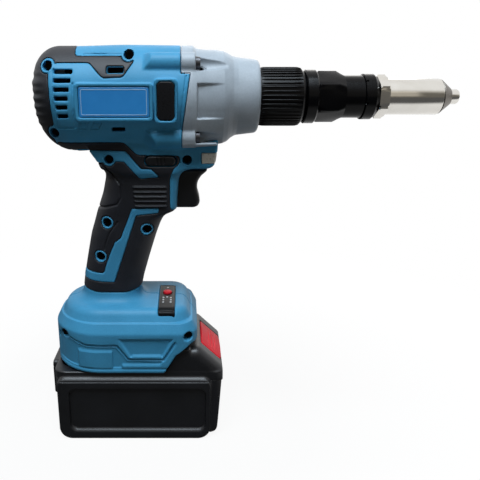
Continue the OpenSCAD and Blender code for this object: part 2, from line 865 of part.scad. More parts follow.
module trigger_spring() {
    color("Silver") translate([switch_front + 0.1, 0, switch_mid])
        rotate([0, 90, 0]) coil(4.6, 0.5, trigger_back - switch_front - 0.2, 5);
}
module direction_selector() {
    color("Black") across(-neck_w / 2 - selector_out, neck_w / 2 + selector_out) selector_outline(0);
}
module control_panel() {
    color("Black") difference() {
        panel_solid(0);
        translate([panel_x, panel_y + 6, foot_top - 5]) cylinder(r = panel_button_r + move_gap, h = 10);
        for (i = [0:2])
            translate([panel_x, panel_y - 6 - 5 * i, foot_top - 5]) cylinder(r = 1, h = 10);
    }
}
module panel_button() {
    color("Red") translate([panel_x, panel_y + 6, 0]) {
        translate([0, 0, foot_top - 4]) cylinder(r = panel_button_r, h = 5);
        translate([0, 0, foot_top - 4]) cylinder(r = panel_button_r + 1, h = 1.4);
    }
}
module terminal_block() {
    color("Black") difference() {
        intersection() {
            linear_extrude(foot_top) bay_plan(0.6);
            union() {
                block(-foot_rear + 5.2, -45, -16, 16, block_top - 9, bay_top + 3.5);
                block(-foot_rear + 5.2, -43.5, -20, 20, bay_top + 2.55, bay_top + 4.1);
            }
        }
        for (s = [-1, 1])
            block(-50, -40, s * 9 - 0.55, s * 9 + 0.55, block_top - 7.05, block_top - 0.95);
        screw_room();
    }
}
module terminal_blades() {
    color("Goldenrod") for (s = [-1, 1])
        block(-50, -30, s * 9 - 0.5, s * 9 + 0.5, block_top - 7, block_top - 1);
}
module wire(points, r) {
    for (i = [0:len(points) - 2]) {
        d = points[i + 1] - points[i];
        l = norm(d);
        translate(points[i]) rotate([0, acos(d[2] / l), atan2(d[1], d[0])]) cylinder(r = r, h = l);
        if (i > 0)
            translate(points[i]) sphere(r = 1.12 * r);
    }
}
module wire_harness() {
    color("Red") for (s = [-1, 1]) {
        wire([[-4, s * 4, switch_mid + 15.6], [-1, s * 4, axis_z - 40], [1, s * 4, axis_z - 30],
            [1, s * 4, axis_z - stator_r + 0.7]], 1.2);
        wire([[-12, s * 4, switch_mid - 12.2], [-15.5, s * 5, handle_z(0.42)],
            [-24, s * 5, handle_z(0.17)], [-28, s * 5, bay_top + 4.9]], 1.2);
    }
}

// motor
module stator_core() {
    color("Silver") difference() {
        rod(stator_rear, stator_front, stator_r);
        rod(stator_rear - 1, stator_front + 1, rotor_r + 0.6);
        for (i = [0:5])
            on_axis(stator_rear - 1) rotate(60 * i + 30) translate([rotor_r + 2.5, -3.4, 0])
                cube([stator_r - rotor_r - 5.5, 6.8, stator_len + 2]);
        for (i = [0:5])
            on_axis(stator_rear - 1) rotate(60 * i + 30) translate([rotor_r - 2, -0.8, 0])
                cube([6, 1.6, stator_len + 2]);
    }
}
module stator_windings() {
    color("Peru") for (i = [0:5], s = [0, 1])
        on_axis(s == 0 ? stator_rear - 3.2 : stator_front + seat_gap) rotate(60 * i)
            translate([rotor_r + 2.2, -4.2, 0]) cube([stator_r - rotor_r - 4.2, 8.4, 3.15]);
}
module rotor_core() {
    color("DarkGray") difference() {
        rod(stator_rear + 0.5, stator_front - 0.5, rotor_r);
        rod(stator_rear - 1, stator_front + 1, shaft_r + 0.01);
        for (i = [0:3])
            on_axis(stator_rear - 1) rotate(90 * i) translate([rotor_r - 3.4, -4.4, 0])
                cube([1.8, 8.8, stator_len + 2]);
    }
}
module rotor_shaft() {
    color("Silver") {
        rod(rear_bearing_rear - 0.2, gear_front, shaft_r);
        on_axis(gear_rear) linear_extrude(gear_w)
            polygon(polar(gear_outline(sun_teeth, 0.85 * gear_module, 1.1 * gear_module, tooth_play)));
    }
}
module cooling_fan() {
    color("DimGray") difference() {
        union() {
            rod(fan_rear, fan_rear + fan_len, shaft_r + 3);
            rod(fan_rear + fan_len - 1.6, fan_rear + fan_len, fan_r);
            for (i = [0:10])
                on_axis(fan_rear) rotate(360 * i / 11) translate([shaft_r + 2, -0.7, 0])
                    cube([fan_r - shaft_r - 3, 1.4, fan_len - 0.4]);
        }
        rod(fan_rear - 1, fan_rear + fan_len + 1, shaft_r + 0.01);
    }
}
module motor_bearings() {
    color("Silver") {
        pipe(rear_bearing_rear, rear_bearing_rear + bearing_w, bearing_r, shaft_r + 0.02);
        pipe(bracket_front - bearing_w, bracket_front, bearing_r, shaft_r + 0.02);
    }
}
module motor_bracket() {
    color("LightGray") pipe(bracket_rear, bracket_front, spigot_r, bearing_r + seat_gap);
}

// planetary stage
module ring_gear() {
    color("Gray") difference() {
        rod(ring_rear, ring_front, ring_r);
        on_axis(ring_rear - 1) linear_extrude(gear_w + 10)
            polygon(polar(gear_outline(ring_teeth, 1.15 * gear_module, 0.8 * gear_module, -tooth_play)));
    }
}
module planet(i) {
    a = 120 * i;
    spin = a + 180 - 180 / planet_teeth + a * sun_teeth / planet_teeth;
    on_axis(gear_rear) rotate(a) translate([planet_arm, 0, 0]) rotate(spin - a) difference() {
        linear_extrude(gear_w)
            polygon(polar(gear_outline(planet_teeth, 0.85 * gear_module, 1.1 * gear_module, tooth_play)));
        translate([0, 0, -1]) cylinder(r = 2.5 + 0.04, h = gear_w + 2);
    }
}
module planet_gear_1() {
    color("LightSteelBlue") planet(0);
}
module planet_gear_2() {
    color("LightSteelBlue") planet(1);
}
module planet_gear_3() {
    color("LightSteelBlue") planet(2);
}
module planet_carrier() {
    color("DarkGray") difference() {
        union() {
            rod(carrier_rear, nut_rear, ring_r - 3.2);
            for (i = [0:2])
                on_axis(gear_rear + 0.4) rotate(120 * i) translate([planet_arm, 0, 0])
                    cylinder(r = 2.5, h = carrier_rear - gear_rear);
        }
        rod(carrier_rear - 5, nut_rear + 1, screw_r + 0.6);
    }
}
module ball_nut() {
    color("Silver") difference() {
        union() {
            rod(nut_rear + seat_gap, nut_front, nut_r);
            rod(nut_front - 4, nut_front, nut_r + 3.5);
        }
        rod(nut_rear - 1, nut_front + 1, screw_r + 0.1);
    }
}
module nut_bearing() {
    color("LightGray") pipe(nut_bearing_rear, nut_bearing_rear + nut_bearing_w, nut_bearing_r, nut_r + 0.04);
}
module thrust_bearing() {
    color("LightGray") pipe(thrust_rear, thrust_rear + thrust_w, 17, screw_r + 1.5);
}

// pull train
module ball_screw() {
    grooves = floor((guide_rear - screw_rear - 4) / screw_pitch);
    color("Silver") difference() {
        union() {
            rod(screw_rear, guide_rear + 1, screw_r);
            rod(guide_rear, jaw_case_rear + 8, rod_r);
            rod(guide_rear, guide_rear + guide_len, screw_r + 1);
            block(guide_rear, guide_rear + guide_len, -guide_r, guide_r, axis_z - 2.5, axis_z + 2.5);
        }
        for (i = [0:grooves - 1])
            pipe(screw_rear + 2 + screw_pitch * i, screw_rear + 4 + screw_pitch * i,
                screw_r + 1, screw_r - 0.7);
    }
}
module jaw_case() {
    color("DarkGray") difference() {
        rod(jaw_case_rear, jaw_case_front, jaw_case_r);
        rod(jaw_case_rear - 1, jaw_case_rear + 10, rod_r + 0.02);
        rod(jaw_case_rear + 8.1, jaws_rear, case_bore_r);
        turned([
            [jaws_rear - 0.1, 0], [jaws_rear - 0.1, case_bore_r], [jaws_rear, case_bore_r],
            [jaw_case_front - 1, cone_mouth_r], [jaw_case_front + 1, cone_mouth_r],
            [jaw_case_front + 1, 0]
        ]);
    }
}
module jaw(i) {
    open_r = mandrel_r + 0.35;
    top = cone_mouth_r + (jaw_case_front - 1 - jaws_front) * tan(jaw_cone) - 0.32;
    color("Silver") intersection() {
        turned([
            [jaws_rear + 0.2, open_r], [jaws_rear + 0.2, case_bore_r - 0.34], [jaws_front, top],
            [jaws_front, open_r]
        ]);
        on_axis(jaws_rear - 1) rotate(120 * i) linear_extrude(jaw_len + 4)
            polygon([[0.9, 0], [0.9 + 20 * cos(60), 20 * sin(60)], [30, 20 * sin(60)],
                [30, -20 * sin(60)], [0.9 + 20 * cos(60), -20 * sin(60)]]);
    }
}
module jaw_1() {
    jaw(0);
}
module jaw_2() {
    jaw(1);
}
module jaw_3() {
    jaw(2);
}
module jaw_pusher() {
    color("Peru") pipe(jaws_rear - pusher_len, jaws_rear, case_bore_r - 0.3, 2.2);
}
module jaw_spring() {
    color("Silver") translate([jaw_case_rear + 8.3, 0, axis_z]) rotate([0, 90, 0])
        coil(case_bore_r - 1.9, 0.55, jaws_rear - pusher_len - jaw_case_rear - 8.5, 7);
}

// nose
module ribbed_sleeve() {
    color("Black") difference() {
        union() {
            turned([
                [gearbox_front + seat_gap, 0], [gearbox_front + seat_gap, sleeve_r - 0.8],
                [gearbox_front + 0.8, sleeve_r], [sleeve_front - 1.6, sleeve_r],
                [sleeve_front - seat_gap, sleeve_r - 1.4], [sleeve_front - seat_gap, 0]
            ]);
            rod(gearbox_front - spigot_len, gearbox_front + 1, 14);
        }
        for (i = [0:sleeve_ribs - 1])
            on_axis(gearbox_front + 1.5) rotate(360 * (i + 0.5) / sleeve_ribs)
                translate([sleeve_r + 0.3, 0, 0]) cylinder(r = 1.15, h = sleeve_len - 5, $fn = 24);
        rod(gearbox_front - 20, sleeve_front + 1, screw_r + 2);
        rod(sleeve_front - 6, sleeve_front + 1, 13 + seat_gap);
        block(gearbox_front - 20, guide_rear + guide_len + 0.6, -guide_r - move_gap, guide_r + move_gap,
            axis_z - 2.5 - move_gap, axis_z + 2.5 + move_gap);
    }
}
module hex_adapter() {
    color("Black") difference() {
        union() {
            rod(sleeve_front - 5.5, sleeve_front + 1, 13);
            turned([
                [sleeve_front, 0], [sleeve_front, collar_r - 1], [sleeve_front + 1, collar_r],
                [collar_front - 1.2, collar_r], [collar_front, collar_r - 1], [collar_front, 0]
            ]);
            intersection() {
                on_axis(collar_front - 1) rotate(90) cylinder(r = hex_r, h = hex_len + 1, $fn = 6);
                turned([
                    [collar_front - 1, 0], [collar_front - 1, hex_r + 0.2], [hex_front - 4.5, hex_r + 0.2],
                    [hex_front, neck_r], [hex_front, 0]
                ]);
            }
            rod(hex_front - 1, neck_front, neck_r);
            rod(neck_front - 1, bright_hex_front - 1, 10.9);
        }
        rod(sleeve_front - 10, bright_hex_front, jaw_case_r + 0.7);
    }
}
module lock_nut() {
    color("DimGray") difference() {
        turned([
            [neck_front + seat_gap, 0], [neck_front + seat_gap, lock_r - 0.8],
            [neck_front + 0.9, lock_r], [lock_front - 3, lock_r],
            [lock_front - seat_gap, lock_r - 2], [lock_front - seat_gap, 0]
        ]);
        rod(neck_front - 1, lock_front + 1, 10.9 + seat_gap);
        for (i = [0:5])
            on_axis(neck_front - 1) rotate(60 * i) translate([lock_r - 0.8, -1.2, 0]) cube([4, 2.4, 4]);
    }
}
module nose_barrel() {
    color("Silver") difference() {
        union() {
            intersection() {
                on_axis(lock_front) rotate(90) cylinder(r = bright_hex_r, h = bright_hex_len, $fn = 6);
                turned([
                    [lock_front, 0], [lock_front, bright_hex_r - 0.9], [lock_front + 1, bright_hex_r - 0.2],
                    [bright_hex_front - 1, bright_hex_r - 0.2], [bright_hex_front, bright_hex_r - 1.2],
                    [bright_hex_front, 0]
                ]);
            }
            turned([
                [lock_front + 1, 0], [lock_front + 1, tube_r], [tube_front - 0.6, tube_r],
                [tube_front, tube_r - 0.5], [cone_front, tip_r + 0.9], [cone_front, 0]
            ]);
        }
        rod(lock_front - 1, bright_hex_front - 0.8, 10.9 + seat_gap);
        rod(lock_front - 1, barrel_floor, jaw_case_r + 0.6);
        rod(lock_front, cone_front + 1, 3.9 + seat_gap);
    }
}
module nosepiece() {
    color("Silver") difference() {
        union() {
            rod(shank_rear, cone_front + 0.5, 3.9);
            turned([
                [cone_front + seat_gap, 0], [cone_front + seat_gap, tip_r], [tip_front - 1.4, tip_r],
                [tip_front - 0.4, tip_r - 0.5], [tip_front, tip_r - 1.3], [tip_front, 0]
            ]);
        }
        rod(shank_rear - 1, tip_front + 1, mandrel_r);
    }
}

// battery
module battery_plan(inset) {
    plan(-battery_rear + inset, battery_front - inset, battery_w / 2 - inset, 14 - inset, 9 - inset);
}
module battery_posts(z0, z1, r) {
    for (p = battery_screw_places)
        translate([p[0], p[1], z0]) cylinder(r = r, h = z1 - z0, $fn = 32);
}
module battery_case_lower() {
    color("Black") difference() {
        union() {
            difference() {
                linear_extrude(battery_split) battery_plan(0);
                translate([0, 0, battery_wall]) linear_extrude(battery_split) battery_plan(battery_wall);
            }
            intersection() {
                battery_posts(0, battery_split, 4.4);
                linear_extrude(battery_split) battery_plan(0.5);
            }
        }
        battery_posts(-1, 3, 3.4);
        battery_posts(0, battery_split + 1, 1.8);
        // long recess along each side
        for (s = [-1, 1])
            across(s * battery_w / 2 - 0.9, s * battery_w / 2 + 0.9) hull()
                for (x = [-44, 40], z = [15, 34.5])
                    translate([x, z]) circle(r = 6, $fn = 32);
    }
}
// frame of the slanted front: local X down the slope, local Z out of it
module on_slope() {
    translate([(slope_start + battery_front) / 2, 0, block_top - slope_drop / 2]) rotate([0, slope, 0])
        children();
}
module battery_hump(low, inset) {
    half = battery_w / 2 - 2.6 - inset;
    across(-half, half) polygon([
        [21 + inset, low], [21 + inset, foot_low + 0.5], [31 + inset, block_top - inset],
        [slope_start - 0.4 * inset, block_top - inset],
        [battery_front - inset, block_top - slope_drop - 0.4 * inset], [battery_front - inset, low]
    ]);
}
module battery_case_upper() {
    color("Black") difference() {
        union() {
            translate([0, 0, battery_split + seat_gap])
                linear_extrude(battery_deck - battery_split - seat_gap)
                    battery_plan(0);
            intersection() {
                linear_extrude(block_top) bay_plan(1);
                union() {
                    block(-foot_rear, foot_front + 2, -bay_half + 5, bay_half - 5,
                        battery_deck - 1, block_top);
                    block(-foot_rear, foot_front + 2, -bay_half, bay_half,
                        rail_high + move_gap, block_top);
                }
            }
            battery_hump(battery_deck - 3, 0);
        }
        // hollow inside
        difference() {
            union() {
                translate([0, 0, battery_split - 1]) linear_extrude(battery_deck - battery_split - 1.4)
                    battery_plan(battery_wall + 1);
                block(-24, foot_front + 1, -bay_half + 7.5, bay_half - 7.5, battery_split, block_top - 2.4);
                battery_hump(battery_split + 0.5, 2.4);
            }
            battery_posts(battery_split, battery_deck, 4.4);
            // shelf for the latch spring
            on_slope() block(-5, 5, -bay_half, bay_half, -15, -12.6);
        }
        battery_posts(battery_split - 1, battery_deck - 1.5, 1.6);
        // notch for the terminal block and slots for its blades
        block(-70, -43, -17, 17, block_top - 10, block_top + 1);
        for (s = [-1, 1])
            block(-45, -26, s * 9 - 1.2, s * 9 + 1.2, block_top - 7.8, block_top - 0.5);
        // opening for the release button and its tongue
        on_slope() block(-9.4, 9.4, -button_w / 2 - move_gap, button_w / 2 + move_gap, -4.6, 4);
        block(foot_front - 8.5, foot_front - 0.5, -8.6, 8.6, block_top - 4, block_top + 1);
    }
}
module battery_cells() {
    color("SteelBlue") for (i = [0:cells_in_row - 1], k = [0, 1])
        translate([cell_x + cell_pitch * (i - (cells_in_row - 1) / 2), -cell_len / 2,
            battery_wall + 1 + cell_r + cell_pitch * k])
            rotate([-90, 0, 0]) cylinder(r = cell_r, h = cell_len);
}
module cell_holders() {
    len_x = cell_pitch * cells_in_row + 1;
    color("DimGray") for (s = [-1, 1])
        difference() {
            block(cell_x - len_x / 2, cell_x + len_x / 2, s * (cell_len / 2 - 6.5) - 2,
                s * (cell_len / 2 - 6.5) + 2, battery_wall + 0.05,
                battery_wall + 2 * cell_pitch + 1);
            for (i = [0:cells_in_row - 1], k = [0, 1])
                translate([cell_x + cell_pitch * (i - (cells_in_row - 1) / 2), -60,
                    battery_wall + 1 + cell_r + cell_pitch * k])
                    rotate([-90, 0, 0]) cylinder(r = cell_r + seat_gap, h = 120);
        }
}
module battery_contacts() {
    color("Gainsboro") {
        for (s = [-1, 1], i = [0:cells_in_row - 1])
            block(cell_x + cell_pitch * (i - (cells_in_row - 1) / 2) - 4,
                cell_x + cell_pitch * (i - (cells_in_row - 1) / 2) + 4,
                s > 0 ? cell_len / 2 + 0.05 : -cell_len / 2 - 0.35,
                s > 0 ? cell_len / 2 + 0.35 : -cell_len / 2 - 0.05,
                battery_wall + 5, battery_wall + 2 * cell_pitch - 4);
        for (s = [-1, 1])
            block(-23.8, -14, s * 9 - 0.5, s * 9 + 0.5, battery_split - 1.55, block_top - 2.6);
    }
}
module battery_board() {
    color("Green") block(-40, 30, -25, 25, battery_split - 3.2, battery_split - 1.6);
}
module release_button() {
    color("Red") union() {
        on_slope() block(-9, 9, -button_w / 2, button_w / 2, -3.4, 1);
        on_slope() block(-8, 8, -button_w / 2 + 1, button_w / 2 - 1, -6.4, -3.3);
        block(foot_front - 5.5, foot_front - 1.5, -8, 8, block_top - 10, block_top - 0.5);
        block(foot_front - 3, foot_front + 6.5, -8, 8, block_top - 10, block_top - 6.5);
    }
}
module latch_spring() {
    color("Silver") on_slope() translate([0, 0, -12.5]) coil(4, 0.5, 6, 3);
}
module battery_screws() {
    color("DimGray") {
        difference() {
            battery_posts(1, 3, 3.2);
            battery_posts(0, 2, 1.4);
        }
        battery_posts(2.5, battery_deck - 2, 1.55);
    }
}

housing_right();
housing_left();
housing_screws();
rear_trim_right();
rear_trim_left();
grip_right();
grip_left();
side_label_right();
side_label_left();
side_badge_right();
side_badge_left();
gearbox_case();
gearbox_screws();
work_light_lens();
circuit_boards();
trigger();
trigger_switch();
trigger_spring();
direction_selector();
control_panel();
panel_button();
terminal_block();
terminal_blades();
wire_harness();
stator_core();
stator_windings();
rotor_core();
rotor_shaft();
cooling_fan();
motor_bearings();
motor_bracket();
ring_gear();
planet_gear_1();
planet_gear_2();
planet_gear_3();
planet_carrier();
ball_nut();
nut_bearing();
thrust_bearing();
ball_screw();
jaw_case();
jaw_1();
jaw_2();
jaw_3();
jaw_pusher();
jaw_spring();
ribbed_sleeve();
hex_adapter();
lock_nut();
nose_barrel();
nosepiece();
battery_case_lower();
battery_case_upper();
battery_cells();
cell_holders();
battery_contacts();
battery_board();
release_button();
latch_spring();
battery_screws();
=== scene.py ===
import bpy
import math
import numpy as np
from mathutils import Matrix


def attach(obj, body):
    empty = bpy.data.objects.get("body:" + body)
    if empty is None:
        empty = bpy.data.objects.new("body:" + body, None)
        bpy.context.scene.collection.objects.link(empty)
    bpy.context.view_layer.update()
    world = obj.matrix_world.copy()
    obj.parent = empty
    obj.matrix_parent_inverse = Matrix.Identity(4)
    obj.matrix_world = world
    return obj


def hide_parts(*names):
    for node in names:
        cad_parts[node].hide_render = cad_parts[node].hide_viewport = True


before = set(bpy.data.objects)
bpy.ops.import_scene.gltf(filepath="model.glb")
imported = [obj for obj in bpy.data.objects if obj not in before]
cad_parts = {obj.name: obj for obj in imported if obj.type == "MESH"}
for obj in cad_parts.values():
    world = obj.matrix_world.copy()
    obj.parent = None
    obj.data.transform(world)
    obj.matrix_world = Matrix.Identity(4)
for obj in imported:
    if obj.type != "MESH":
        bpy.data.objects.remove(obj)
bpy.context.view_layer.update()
scene = bpy.context.scene
scene.view_settings.view_transform = "Standard"

# Camera. It stands on the tool's right, a little above the barrel, as in the photograph.
# The frame is shifted sideways because the tool reaches further to the nose than to the rear.
lens = bpy.data.cameras.new("camera")
lens.sensor_width, lens.lens, lens.shift_x, lens.clip_start = 36.0, 41.25, 0.1146, 0.01
camera = bpy.data.objects.new("camera", lens)
camera.location = (0.0324, -0.378, 0.2565)
camera.rotation_euler = (math.radians(72.9), 0.0, 0.0)
scene.collection.objects.link(camera)
scene.camera = camera

# Clamshell housing, two glass-filled nylon mouldings that meet on the middle plane.
# Barrel, neck, handle and battery foot are one skin 4 mm thick, with screw posts inside, rooms
# for the soft overmoulds, and pockets for the label and the badge.
axis = 240.0
coarse = 1.0


def fillet(a, b, r):
    """Two forms joined, with a fillet of about r mm between them."""
    h = np.maximum(r - np.abs(a - b), 0) / r
    return np.minimum(a, b) - h * h * r * 0.25


def eased(a, b, r):
    """What two forms share, with the new edge eased by about r mm."""
    return -fillet(-a, -b, r)


def softened(points, r, steps=4):
    """An outline with its corners rounded to about r mm."""
    points, soft = np.asarray(points, float), []
    for before, here, after in zip(np.roll(points, 1, 0), points, np.roll(points, -1, 0)):
        a, b = before - here, after - here
        reach = min(r, 0.45 * np.hypot(*a), 0.45 * np.hypot(*b))
        a, b = here + a / np.hypot(*a) * reach, here + b / np.hypot(*b) * reach
        for t in np.linspace(0, 1, steps):
            soft.append((1 - t) ** 2 * a + 2 * t * (1 - t) * here + t * t * b)
    return np.array(soft)


def outline(u, v, points):
    """Distance in a plane to a closed outline in mm, negative inside."""
    nearest, inside = np.float32(1e9), False
    for (ax, ay), (bx, by) in zip(points, np.roll(points, -1, 0)):
        ex, ey = float(bx - ax), float(by - ay)
        wu, wv = u - float(ax), v - float(ay)
        t = np.clip((wu * ex + wv * ey) / max(ex * ex + ey * ey, 1e-9), 0, 1)
        nearest = np.minimum(nearest, (wu - ex * t) ** 2 + (wv - ey * t) ** 2)
        if ey:
            inside = inside ^ (((wv >= 0) != (v - float(by) >= 0)) & (wu < wv * (ex / ey)))
    return np.where(inside, -1, 1).astype(np.float32) * np.sqrt(nearest)


def line(u, v, points, width):
    """Distance to an open engraved line of the given width."""
    nearest = np.float32(1e9)
    for (ax, ay), (bx, by) in zip(points[:-1], points[1:]):
        ex, ey = bx - ax, by - ay
        t = np.clip(((u - ax) * ex + (v - ay) * ey) / (ex * ex + ey * ey), 0, 1)
        nearest = np.minimum(nearest, (u - ax - ex * t) ** 2 + (v - ay - ey * t) ** 2)
    return np.sqrt(nearest) - width / 2


def rounded(a, b, r):
    """Two sides met in a corner of radius r; a and b count from r mm inside them."""
    return np.hypot(np.maximum(a, 0), np.maximum(b, 0)) + np.minimum(np.maximum(a, b), 0) - r


def slab(u, v, u0, u1, v0, v1, r):
    """Distance to a rectangle with rounded corners."""
    a, b = np.abs(u - (u0 + u1) / 2) - (u1 - u0) / 2 + r, np.abs(v - (v0 + v1) / 2) - (v1 - v0) / 2 + r
    return rounded(a, b, r)


def plan(x, y, rear, front, half, r_rear, r_front):
    """A rectangle from above with other corner radii behind than in front."""
    r = np.where(x < (rear + front) / 2, r_rear, r_front)
    a, b = np.abs(x - (rear + front) / 2) - (front - rear) / 2 + r, np.abs(y) - half + r
    return rounded(a, b, r)


def moulded(name, form, low, high, step, most=190000):
    """Meshes a form given as a distance in mm: one point per mixed cell, then thinned."""
    step = step * coarse
    lows = np.asarray(low, np.float32) - step
    counts = [int((b - a) / step) + 4 for a, b in zip(low, high)]
    xs, ys, zs = (a + step * np.arange(n, dtype=np.float32) for a, n in zip(lows, counts))
    d = form(xs[:, None, None], ys[None, :, None], zs[None, None, :])
    d = np.ascontiguousarray(np.broadcast_to(d, counts), dtype=np.float32)
    solid = d < 0
    filled = np.zeros([n - 1 for n in counts], np.int8)
    for i in (0, 1):
        for j in (0, 1):
            for k in (0, 1):
                filled += solid[i:counts[0] - 1 + i, j:counts[1] - 1 + j, k:counts[2] - 1 + k]
    mixed = (filled > 0) & (filled < 8)
    cell = np.argwhere(mixed)
    number = np.full(mixed.shape, -1, np.int32)
    number[mixed] = np.arange(len(cell))
    total, hits = np.zeros((len(cell), 3)), np.zeros((len(cell), 1))
    quads = []
    for along in range(3):
        unit = np.eye(3, dtype=int)
        u, v = unit[(along + 1) % 3], unit[(along + 2) % 3]
        for corner in (0 * u, u, v, u + v):
            a = cell + corner
            b = a + unit[along]
            da, db = d[tuple(a.T)], d[tuple(b.T)]
            crossed = (da < 0) != (db < 0)
            t = np.where(crossed, da / np.where(crossed, da - db, 1), 0)
            total += np.where(crossed[:, None], corner + t[:, None] * unit[along], 0)
            hits += crossed[:, None]
        near = [slice(None)] * 3
        near[along] = slice(0, -1)
        far = [slice(None)] * 3
        far[along] = slice(1, None)
        edge = np.argwhere(solid[tuple(near)] != solid[tuple(far)])
        keep = np.ones(len(edge), bool)
        for side in ((along + 1) % 3, (along + 2) % 3):
            keep &= (edge[:, side] > 0) & (edge[:, side] < counts[side] - 1)
        edge = edge[keep]
        quad = np.stack([number[tuple((edge - s).T)] for s in (u + v, v, 0 * u, u)], 1)
        turned = ~solid[tuple(edge.T)]
        quad[turned] = quad[turned][:, ::-1]
        quads.append(quad)
    points = (lows + step * (cell + total / hits)) / 1000
    quads = np.concatenate(quads)
    mesh = bpy.data.meshes.new(name)
    mesh.vertices.add(len(points))
    mesh.vertices.foreach_set("co", points.astype(np.float32).ravel())
    mesh.loops.add(quads.size)
    mesh.loops.foreach_set("vertex_index", quads.ravel().astype(np.int32))
    mesh.polygons.add(len(quads))
    mesh.polygons.foreach_set("loop_start", np.arange(0, quads.size, 4, dtype=np.int32))
    mesh.update(calc_edges=True)
    piece = bpy.data.objects.new(name, mesh)
    scene.collection.objects.link(piece)
    if len(quads) * 2 > most:
        thin = piece.modifiers.new("thin", "DECIMATE")
        thin.ratio = most / (len(quads) * 2)
        plain = bpy.data.meshes.new_from_object(piece.evaluated_get(bpy.context.evaluated_depsgraph_get()))
        piece.modifiers.clear()
        piece.data = plain
        plain.name = name
        mesh = plain
    # Normals weighted by face area, so that flats stay flat and the narrow eased edges turn.
    spots = np.empty(len(mesh.vertices) * 3, np.float32)
    mesh.vertices.foreach_get("co", spots)
    spots = spots.reshape(-1, 3)
    mesh.calc_loop_triangles()
    corners = np.empty(len(mesh.loop_triangles) * 3, np.int32)
    mesh.loop_triangles.foreach_get("vertices", corners)
    corners = corners.reshape(-1, 3)
    a, b, c = (spots[corners[:, i]] for i in range(3))
    push = np.cross(b - a, c - a)
    normal = np.zeros(spots.shape)
    for i in range(3):
        for k in range(3):
            normal[:, k] += np.bincount(corners[:, i], push[:, k], len(spots))
    normal /= np.maximum(np.linalg.norm(normal, axis=1, keepdims=True), 1e-12)
    mesh.shade_smooth()
    mesh.normals_split_custom_set_from_vertices(normal.tolist())
    return piece


def colour(code):
    """An sRGB hex value as linear colour."""
    parts = [c / 255 for c in bytes.fromhex(code)]
    return [c / 12.92 if c < 0.04045 else ((c + 0.055) / 1.055) ** 2.4 for c in parts] + [1.0]


def node(tree, kind, settings=()):
    """Adds a node; a value that is a node or a socket is linked, and any other one is set."""
    made = tree.nodes.new(kind)
    for key, value in dict(settings).items():
        if isinstance(value, bpy.types.Node):
            value = value.outputs[0]
        if isinstance(value, bpy.types.NodeSocket):
            tree.links.new(value, made.inputs[key])
        elif isinstance(key, str) and hasattr(made, key):
            setattr(made, key, value)
        else:
            made.inputs[key].default_value = value
    return made


def placed(piece, material, body, kept):
    """Gives a piece its material, its body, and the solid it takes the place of."""
    piece.data.materials.append(material)
    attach(piece, body)
    if kept:
        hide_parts(kept)


def maths(tree, operation, *values):
    """A math node with its values or links in their order."""
    return node(tree, "ShaderNodeMath", {"operation": operation, **dict(enumerate(values))})


def surface(name, pattern, dark, light, low, high, strength, depth, shader):
    """A material whose pattern gives the share of the light tone, and the fine relief in gloss and bump."""
    made = bpy.data.materials.new(name)
    made.use_nodes = True
    tree = made.node_tree
    tree.nodes.clear()
    share, fine = pattern(tree, node(tree, "ShaderNodeTexCoord").outputs["Object"])
    tone = node(tree, "ShaderNodeMix", {"data_type": "RGBA", 6: colour(dark), 7: colour(light), 0: share})
    gloss = node(tree, "ShaderNodeMapRange", {"To Min": low, "To Max": high, "Value": fine})
    bump = node(tree, "ShaderNodeBump", {"Strength": strength, "Distance": depth / 1000, "Height": fine})
    skin = node(tree, "ShaderNodeBsdfPrincipled",
                {**shader, "Base Color": tone.outputs[2], "Roughness": gloss, "Normal": bump})
    node(tree, "ShaderNodeOutputMaterial", {"Surface": skin})
    return made


def plastic(name, dark, light, rough, grain, depth, cloud=22.0, **shader):
    """A moulded surface: two close tones in soft clouds, and a grain of the given mm and depth."""
    def pattern(tree, place):
        drift = node(tree, "ShaderNodeTexNoise", {"Scale": 1000 / cloud, "Detail": 3.0, "Vector": place})
        fine = node(tree, "ShaderNodeTexNoise", {"Scale": 1000 / grain, "Detail": 2.0, "Vector": place})
        both = maths(tree, "MULTIPLY_ADD", fine, 0.45, drift)
        return node(tree, "ShaderNodeMapRange", {"From Min": 0.45, "From Max": 1.0, "Value": both}), fine
    return surface(name, pattern, dark, light, rough - 0.05, rough + 0.07, 0.5, depth, shader)


# Side outlines in mm as (X, Z): the joint with the gear case, and the neck.
joint_line = [(-90, 300), (29.9, 300), (29.9, 255.0), (35.6, 255.0), (30.5, 218.8), (30.5, 180), (-90, 180)]
neck_line = softened([(-34, 216), (-30, 206), (-25, 199), (-23, 194.2), (31.5, 194.2), (47, 194.3),
                      (50.6, 195.4), (52.8, 198.6), (53.8, 206), (54.5, 220), (45, 225), (-10, 225)], 2)
# The handle by height: Z, back X, front X, half width, front corner radius. The rows are smoothed.
rows = np.array([(98, -42.6, -1.0, 17, 14), (115.4, -40.2, 2.6, 16, 14), (130.7, -37.2, 7.0, 16.2, 14),
                 (147, -33.8, 12.0, 16.5, 13), (155.8, -31, 15.2, 16.5, 12), (161, -29.5, 18, 16.5, 11),
                 (163.6, -28.7, 22, 16.6, 8), (165.4, -28.0, 26.8, 16.8, 6), (176.5, -24.2, 27.3, 17.2, 5),
                 (190.6, -21.2, 28.5, 17.5, 5), (199.4, -22.5, 29.5, 17.5, 5), (212, -24, 31, 17.5, 5)])
levels = np.linspace(92, 212, 241)
table = [np.convolve(np.pad(np.interp(levels, rows[:, 0], rows[:, i]), 4, "edge"), np.ones(9) / 9, "valid")
         for i in (1, 2, 3, 4)]


def joint(x, z):
    """How far a point is ahead of the joint with the gear case: upright at the towers, slanted between."""
    return outline(x, z, joint_line)


lug_y, lug_high, lug_low, lug_r, lug_front = 22.0, 21.0, -24.0, 6.4, 39.0


